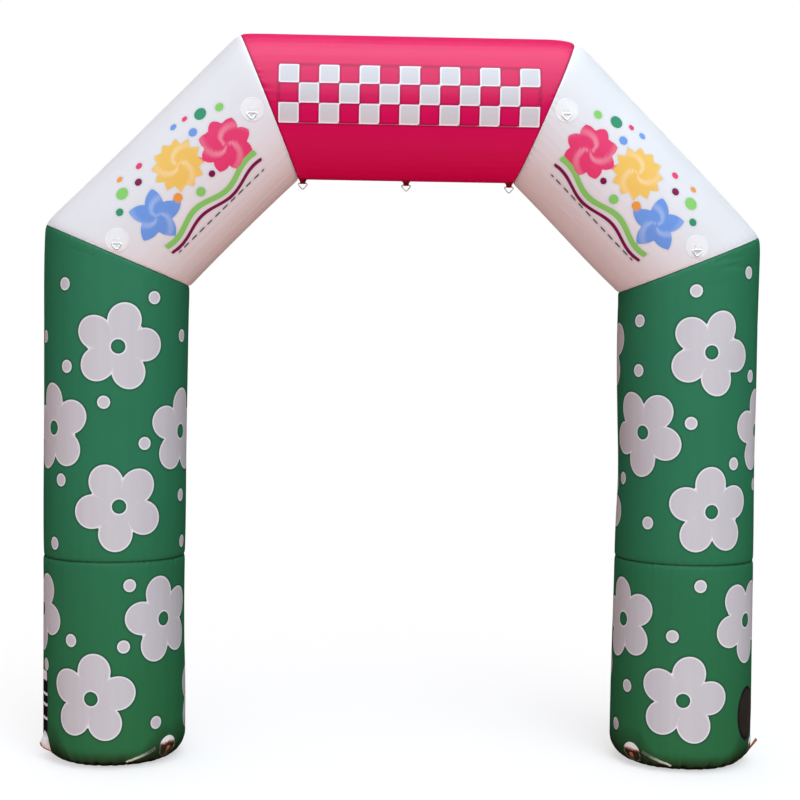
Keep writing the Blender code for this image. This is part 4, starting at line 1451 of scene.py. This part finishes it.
class ARCH_OT_shoulder_fittings(bpy.types.Operator):
    """White patches on the shoulders, each with a webbing tab and a wire ring"""

    bl_idname = "arch.shoulder_fittings"
    bl_label = "Shoulder patches, tabs and rings"

    def execute(self, context):
        middle = LOOP_OUT - WEB_T / 2
        stitches = []
        for side, end, distance, turn in SHOULDER_PATCHES:
            section = looks()["sections"][f"shoulder_{side}"]
            along = distance if end == "low" else section.length - distance
            centre = (math.radians(turn) * SHOULDER_R, along)
            key = f"{side}_{end}"
            stitches += round_patch(key, section.skin, centre, "patch", f"shoulder_patch_{key}")
            low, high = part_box(f"shoulder_tab_{key}")
            front = high.y
            bar = ((low.x + high.x) / 2, front - LOOP_OUT, low.z + LOOP_OUT)
            back = front - WEB_T / 2
            second = back - WEB_T - 0.0001
            meet = math.degrees(math.acos((bar[1] - second) / middle))
            loop = arc_points((bar[1], bar[2]), middle, 180 - meet, 360, 34)
            corners = ([(second, high.z), (second, bar[2] + 0.011)] + loop
                       + [(back, bar[2] + 0.006), (back, high.z)])
            folded_tab(f"shoulder_webbing_{key}", bar[0], corners, lambda z: TAB_W, 3, "white_web",
                       f"shoulder_tab_{key}")
            ring(f"wire_ring_shoulder_{key}", bar, f"shoulder_ring_{key}")
            face = second - WEB_T / 2 - 0.0004
            stitches += box_stitch((bar[0], face, high.z - 0.0125), (0, 0, 1), (1, 0, 0), SHOULDER_BOX_W)
        sewn("stitches_shoulder_patches", stitches, "white_thread")
        return {"FINISHED"}


def stood_up(points, side, turn, across):
    """The stand-up tab's line, which goes on out and up from the cloth and twists."""
    out = np.array((SIDES[side] * math.sin(turn), -math.cos(turn), 0.0))
    rise = math.radians(STAND_TAB_ANGLE)
    reach = out * math.cos(rise) + np.array((0, 0, 1.0)) * math.sin(rise)
    steps = np.linspace(0.0, STAND_TAB_REACH, 40)[1:]
    points = eased(np.concatenate([points, points[-1] + reach * steps[:, None]]))
    twist = np.radians(np.linspace(0.0, STAND_TAB_TWIST, len(points)))[:, None]
    across = across * np.cos(twist) - out * np.sin(twist)
    normals = unit(np.cross(np.gradient(points, axis=0), across))
    return points, normals, unit(np.cross(normals, np.gradient(points, axis=0)))


class ARCH_OT_foot_fittings(bpy.types.Operator):
    """Patches, anchor tabs and straps on the rounding of the feet"""

    bl_idname = "arch.foot_fittings"
    bl_label = "Foot patches, tabs and straps"

    def execute(self, context):
        sections = looks()["sections"]
        white, orange = [], []
        for side, place, degrees, down in FOOT_PATCHES:
            skin = sections[f"leg_lower_{side}"].skin
            turn = math.radians(degrees)
            around = turn * LEG_GIRTH[side][0][1]
            key = f"{side}_{place}"
            pulled = key == PULLED_TAB
            pull = HARD_PULL if pulled else PATCH_PULL
            white += round_patch(f"foot_{key}", skin, (around, down), "patch" if pulled else "foot_patch",
                                 f"foot_patch_{key}", pull)
            stands = key == STANDING_TAB
            first, last = STAND_TAB_FOOT if stands else (down - FOOT_TAB_UP, FOOT_TAB_END)
            downs = np.linspace(first, last, 24)
            lift = SKIN_LIFT + PATCH_T + CLEAR + 0.0003 + WEB_T
            lift = lift + (0.0 if stands else tent(downs - down, PATCH_R - HEM, pull))
            points, normals = laid(skin, around, downs, lift)
            across = np.array((SIDES[side] * math.cos(turn), math.sin(turn), 0.0))
            if stands:
                points, normals, across = stood_up(points, side, turn, across)
            strap(f"foot_webbing_{key}", points, normals, across, FOOT_TAB_W, 2 * WEB_T,
                  "darkened_web" if place == "inner" else "orange_web", f"foot_tab_{key}")
            sides = np.broadcast_to(across, points.shape)[2:20]
            for shift in FOOT_TAB_ROW_X:
                orange.append((points[2:20] + sides * shift + normals[2:20] * (WEB_T + STITCH_UP), False))
        for side in SIDES:
            skin = sections[f"leg_lower_{side}"].skin
            start, end = (np.array((math.radians(degrees) * LEG_GIRTH[side][0][1], down))
                          for degrees, down in (FOOT_STRAP_FROM, FOOT_STRAP_TO))
            path = start + (end - start) * np.linspace(0.0, 1.0, 48)[:, None]
            points, normals = laid(skin, path[:, 0], path[:, 1], SKIN_LIFT + PATCH_T / 2)
            across = unit(np.cross(normals, np.gradient(points, axis=0)))
            strap(f"foot_band_{side}", points, normals, across, FOOT_STRAP_W, PATCH_T, "worn_web",
                  f"foot_strap_{side}")
            over = points + normals * (PATCH_T / 2 + STITCH_UP)
            white += [((over + across * shift)[1:-1], False) for shift in FOOT_STRAP_ROW_X]
        sewn("stitches_foot_patches", white, "white_thread")
        sewn("stitches_foot_tabs", orange, "red_thread")
        return {"FINISHED"}


class ARCH_OT_inlet(bpy.types.Operator):
    """Net window of the blower in the right leg, with its binding"""

    bl_idname = "arch.inlet"
    bl_label = "Blower window"

    def execute(self, context):
        foot = looks()["sections"]["leg_lower_right"]
        centre = (math.radians(INLET_TURN) * LEG_GIRTH["right"][0][1], FOOT_ROUND - INLET_Z)

        def window(across, along, lift):
            return foot.skin(centre[0] + (across - centre[0]) * INLET_NARROW, along, lift)

        back = disc_on("inlet_backing", window, centre, INLET_MESH_R, 0.0006, "net", "inlet_mesh",
                       rings=12, hem=0.004)
        threads = []
        for s in np.arange(-INLET_MESH_R + 0.008, INLET_MESH_R - 0.004, NET_PITCH):
            half = math.sqrt(max(0.0, (INLET_MESH_R - 0.002) ** 2 - s * s))
            run = np.linspace(-half, half, max(3, int(half / 0.006)))
            for across, along in ((run, s), (s, run)):
                a = (across + along) * math.sqrt(0.5)
                b = (along - across) * math.sqrt(0.5)
                threads.append((window(centre[0] + a, centre[1] + b, SKIN_LIFT + NET_UP), False))
        net = wire(threads, "net", step=0.012, radius=0.0011, sides=4)
        finished("inlet_net", net, "net", None)
        inner, outer = INLET_MESH_R + CLEAR, INLET_RIM_R
        section = [(inner, SKIN_LIFT), (inner, SKIN_LIFT + RIM_T)]
        section += [(inner + (outer - inner) * t, SKIN_LIFT + RIM_T + RIM_SWELL * math.sin(math.pi * t))
                    for t in (0.1, 0.3, 0.5, 0.7, 0.9)]
        section += [(outer, SKIN_LIFT + 0.0018), (outer, SKIN_LIFT)]
        rows = [circle_on(window, centre, r, lift) for r, lift in section]
        around = np.arange(RIM_SEGMENTS) * (math.tau / RIM_SEGMENTS)
        uvs = [np.stack([np.full(RIM_SEGMENTS, r), around * r], axis=1) for r, _ in section]
        rim = mesh_from(rows, wrap(len(rows), RIM_SEGMENTS, closed=True), uvs)
        finished("inlet_binding", rim, "black_web", "inlet_rim", sharp=50.0)
        sewn("stitches_inlet", [(circle_on(window, centre, r, SKIN_LIFT + 0.0034, 240), True)
                                for r in (inner + RIM_ROW_IN[0], outer - RIM_ROW_IN[1])], "black_thread")
        return {"FINISHED"}


class ARCH_OT_zip(bpy.types.Operator):
    """Deflation zip up the left leg's outer side, with its teeth and the white bars across it"""

    bl_idname = "arch.zip"
    bl_label = "Deflation zip"

    def execute(self, context):
        skin = looks()["sections"]["leg_lower_left"].skin
        turn = math.radians(ZIP_TURN)
        across = turn * LEG_GIRTH["left"][0][1]
        downs = FOOT_ROUND - np.linspace(ZIP_FROM_Z, ZIP_TO_Z, 60)
        side = np.array((-math.cos(turn), math.sin(turn), 0.0))
        lift = SKIN_LIFT + 0.0006
        points, normals = laid(skin, across, downs, lift)
        strap("zip_tape", points, normals, side, ZIP_TAPE_W, ZIP_TAPE_T, "black_web", "deflation_zip",
              columns=18)
        teeth = []
        for z in np.arange(ZIP_FROM_Z + 0.012, ZIP_TO_Z - 0.05, ZIP_TEETH_STEP):
            for hand, shift in ((-1.0, 0.0), (1.0, ZIP_TEETH_STEP / 2)):
                down = np.full(2, FOOT_ROUND - z - shift)
                teeth.append((skin(across + hand * ZIP_TOOTH, down, SKIN_LIFT + 0.0022), False))
        coil = wire(teeth, "net", step=0.0025, radius=0.0009, sides=6)
        finished("zip_teeth", coil, "net", None)
        for k, z in enumerate(ZIP_BARS):
            span = np.linspace(across - ZIP_TAPE_W * 0.56, across + ZIP_TAPE_W * 0.56, 14)
            line, out = laid(skin, span, FOOT_ROUND - z, SKIN_LIFT + 0.0042)
            strap(f"zip_keeper_{k + 1}", line, out, (0.0, 0.0, 1.0), ZIP_BAR_W, ZIP_BAR_T, "white_web",
                  None)
        line, out = laid(skin, across, FOOT_ROUND - np.linspace(ZIP_TO_Z - 0.060, ZIP_TO_Z + 0.004, 16),
                         SKIN_LIFT + 0.0044)
        strap("zip_garage", line, out, side, ZIP_TAPE_W * 1.10, ZIP_BAR_T, "white_web", None,
              columns=12)
        rows = [(skin(np.full(60, across + x), downs, lift + 0.0009), False) for x in ZIP_ROW_X]
        sewn("stitches_zip", rows, "black_thread")
        return {"FINISHED"}


class ARCH_OT_stage(bpy.types.Operator):
    """Pale floor, soft studio light and the camera"""

    bl_idname = "arch.stage"
    bl_label = "Stage"

    def execute(self, context):
        scene = context.scene
        scene.view_settings.view_transform = "Standard"
        scene.view_settings.look = "None"
        self.lay_floor(scene)
        self.light(scene)
        self.place_camera(scene)
        return {"FINISHED"}

    def lay_floor(self, scene):
        """A white floor that glows far off and takes soft shadows near the feet."""
        mesh = bpy.data.meshes.new("floor")
        corners = [(x * FLOOR_HALF, y * FLOOR_HALF, 0) for x, y in ((-1, -1), (1, -1), (1, 1), (-1, 1))]
        mesh.from_pydata(corners, [], [(0, 1, 2, 3)])
        floor = bpy.data.objects.new("floor", mesh)
        scene.collection.objects.link(floor)
        f = Finish("pale_floor")
        x, y, _ = f.parts(f.objects())
        share = f.clamp((SHADE_END - f.math("SQRT", x * x + y * y)) / SHADE_FADE) * SHADE_SHARE
        lit = f.node("ShaderNodeBsdfDiffuse", None, {"Color": FLOOR_WHITE})
        glow = f.node("ShaderNodeEmission", None, {"Color": WHITE, "Strength": 1.0})
        f.show(f.node("ShaderNodeMixShader", None, {0: share, 1: glow.outputs[0], 2: lit.outputs[0]}))
        mesh.materials.append(f.material)
        floor.visible_diffuse = False
        floor.visible_glossy = False

    def light(self, scene):
        """Soft light from all round, a key light for the cloth's colour and a panel for its sheen."""
        world = bpy.data.worlds.new("studio")
        world.use_nodes = True
        scene.world = world
        w = Finish("studio", world.node_tree)
        ways = w.read("ShaderNodeTexCoord", "Generated")
        soft = w.lobe(ways, *SOFT_LIGHT[0])
        for each in SOFT_LIGHT[1:]:
            soft = w.vector("ADD", soft, w.lobe(ways, *each))
        seen = w.mix(w.read("ShaderNodeLightPath", "Is Camera Ray"), soft, WHITE)
        w.show(w.node("ShaderNodeBackground", None, {"Color": seen}), "ShaderNodeOutputWorld")
        world.cycles_visibility.glossy = False
        for name, place, aim, size, power, colour, lit in LIGHTS:
            data = bpy.data.lights.new(name, "AREA")
            data.shape = "RECTANGLE"
            data.size, data.size_y = size
            data.energy = power
            data.color = colour
            lamp = bpy.data.objects.new(name, data)
            lamp.location = place
            lamp.rotation_mode = "QUATERNION"
            lamp.rotation_quaternion = (Vector(aim) - Vector(place)).to_track_quat("-Z", "Y")
            lamp.visible_camera = False
            lamp.visible_diffuse = lit == "diffuse"
            lamp.visible_glossy = lit == "glossy"
            scene.collection.objects.link(lamp)

    def place_camera(self, scene):
        """The camera before the arch, a little below its beam."""
        data = bpy.data.cameras.new("camera")
        data.sensor_width = 36.0
        data.lens = CAMERA_FOCUS / 800.0 * data.sensor_width
        data.clip_end = 1000.0
        camera = bpy.data.objects.new("camera", data)
        yaw, pitch, roll = (math.radians(a) for a in CAMERA_TURNS)
        ahead = Vector((math.sin(yaw) * math.cos(pitch), math.cos(yaw) * math.cos(pitch), math.sin(pitch)))
        right = Vector((math.cos(yaw), -math.sin(yaw), 0.0))
        up = right.cross(ahead)
        across = right * math.cos(roll) + up * math.sin(roll)
        over = up * math.cos(roll) - right * math.sin(roll)
        turned = Matrix((across, over, -ahead)).transposed().to_4x4()
        camera.matrix_world = Matrix.Translation(CAMERA_PLACE) @ turned
        scene.collection.objects.link(camera)
        scene.camera = camera


class ARCH_PT_looks(bpy.types.Panel):
    """Sizes and colours of the arch, and the steps that make it"""

    bl_label = "Inflatable arch"
    bl_idname = "ARCH_PT_looks"
    bl_space_type = "VIEW_3D"
    bl_region_type = "UI"
    bl_category = "Arch"

    def draw(self, context):
        for group in (context.scene.arch_prints, context.scene.arch_sewing, context.scene.arch_colours):
            box = self.layout.box()
            for key in group.__annotations__:
                box.prop(group, key)
        for step in STEPS:
            self.layout.operator(step.bl_idname)


STEPS = (ARCH_OT_stage, ARCH_OT_legs, ARCH_OT_shoulders, ARCH_OT_beam, ARCH_OT_seams, ARCH_OT_beam_fittings,
         ARCH_OT_shoulder_fittings, ARCH_OT_foot_fittings, ARCH_OT_inlet, ARCH_OT_zip)
GROUPS = {"arch_prints": ArchPrints, "arch_sewing": ArchSewing, "arch_colours": ArchColours}


def register():
    """Makes the settings, steps and panel known to Blender."""
    for kind in (*GROUPS.values(), *STEPS, ARCH_PT_looks):
        bpy.utils.register_class(kind)
    for name, kind in GROUPS.items():
        setattr(bpy.types.Scene, name, PointerProperty(type=kind))


def unregister():
    """Takes them out again."""
    for name in GROUPS:
        delattr(bpy.types.Scene, name)
    for kind in (ARCH_PT_looks, *reversed(STEPS), *GROUPS.values()):
        bpy.utils.unregister_class(kind)


def main():
    """Makes every piece in turn."""
    register()
    for step in STEPS:
        group, name = step.bl_idname.split(".")
        getattr(getattr(bpy.ops, group), name)()


if __name__ == "__main__":
    main()
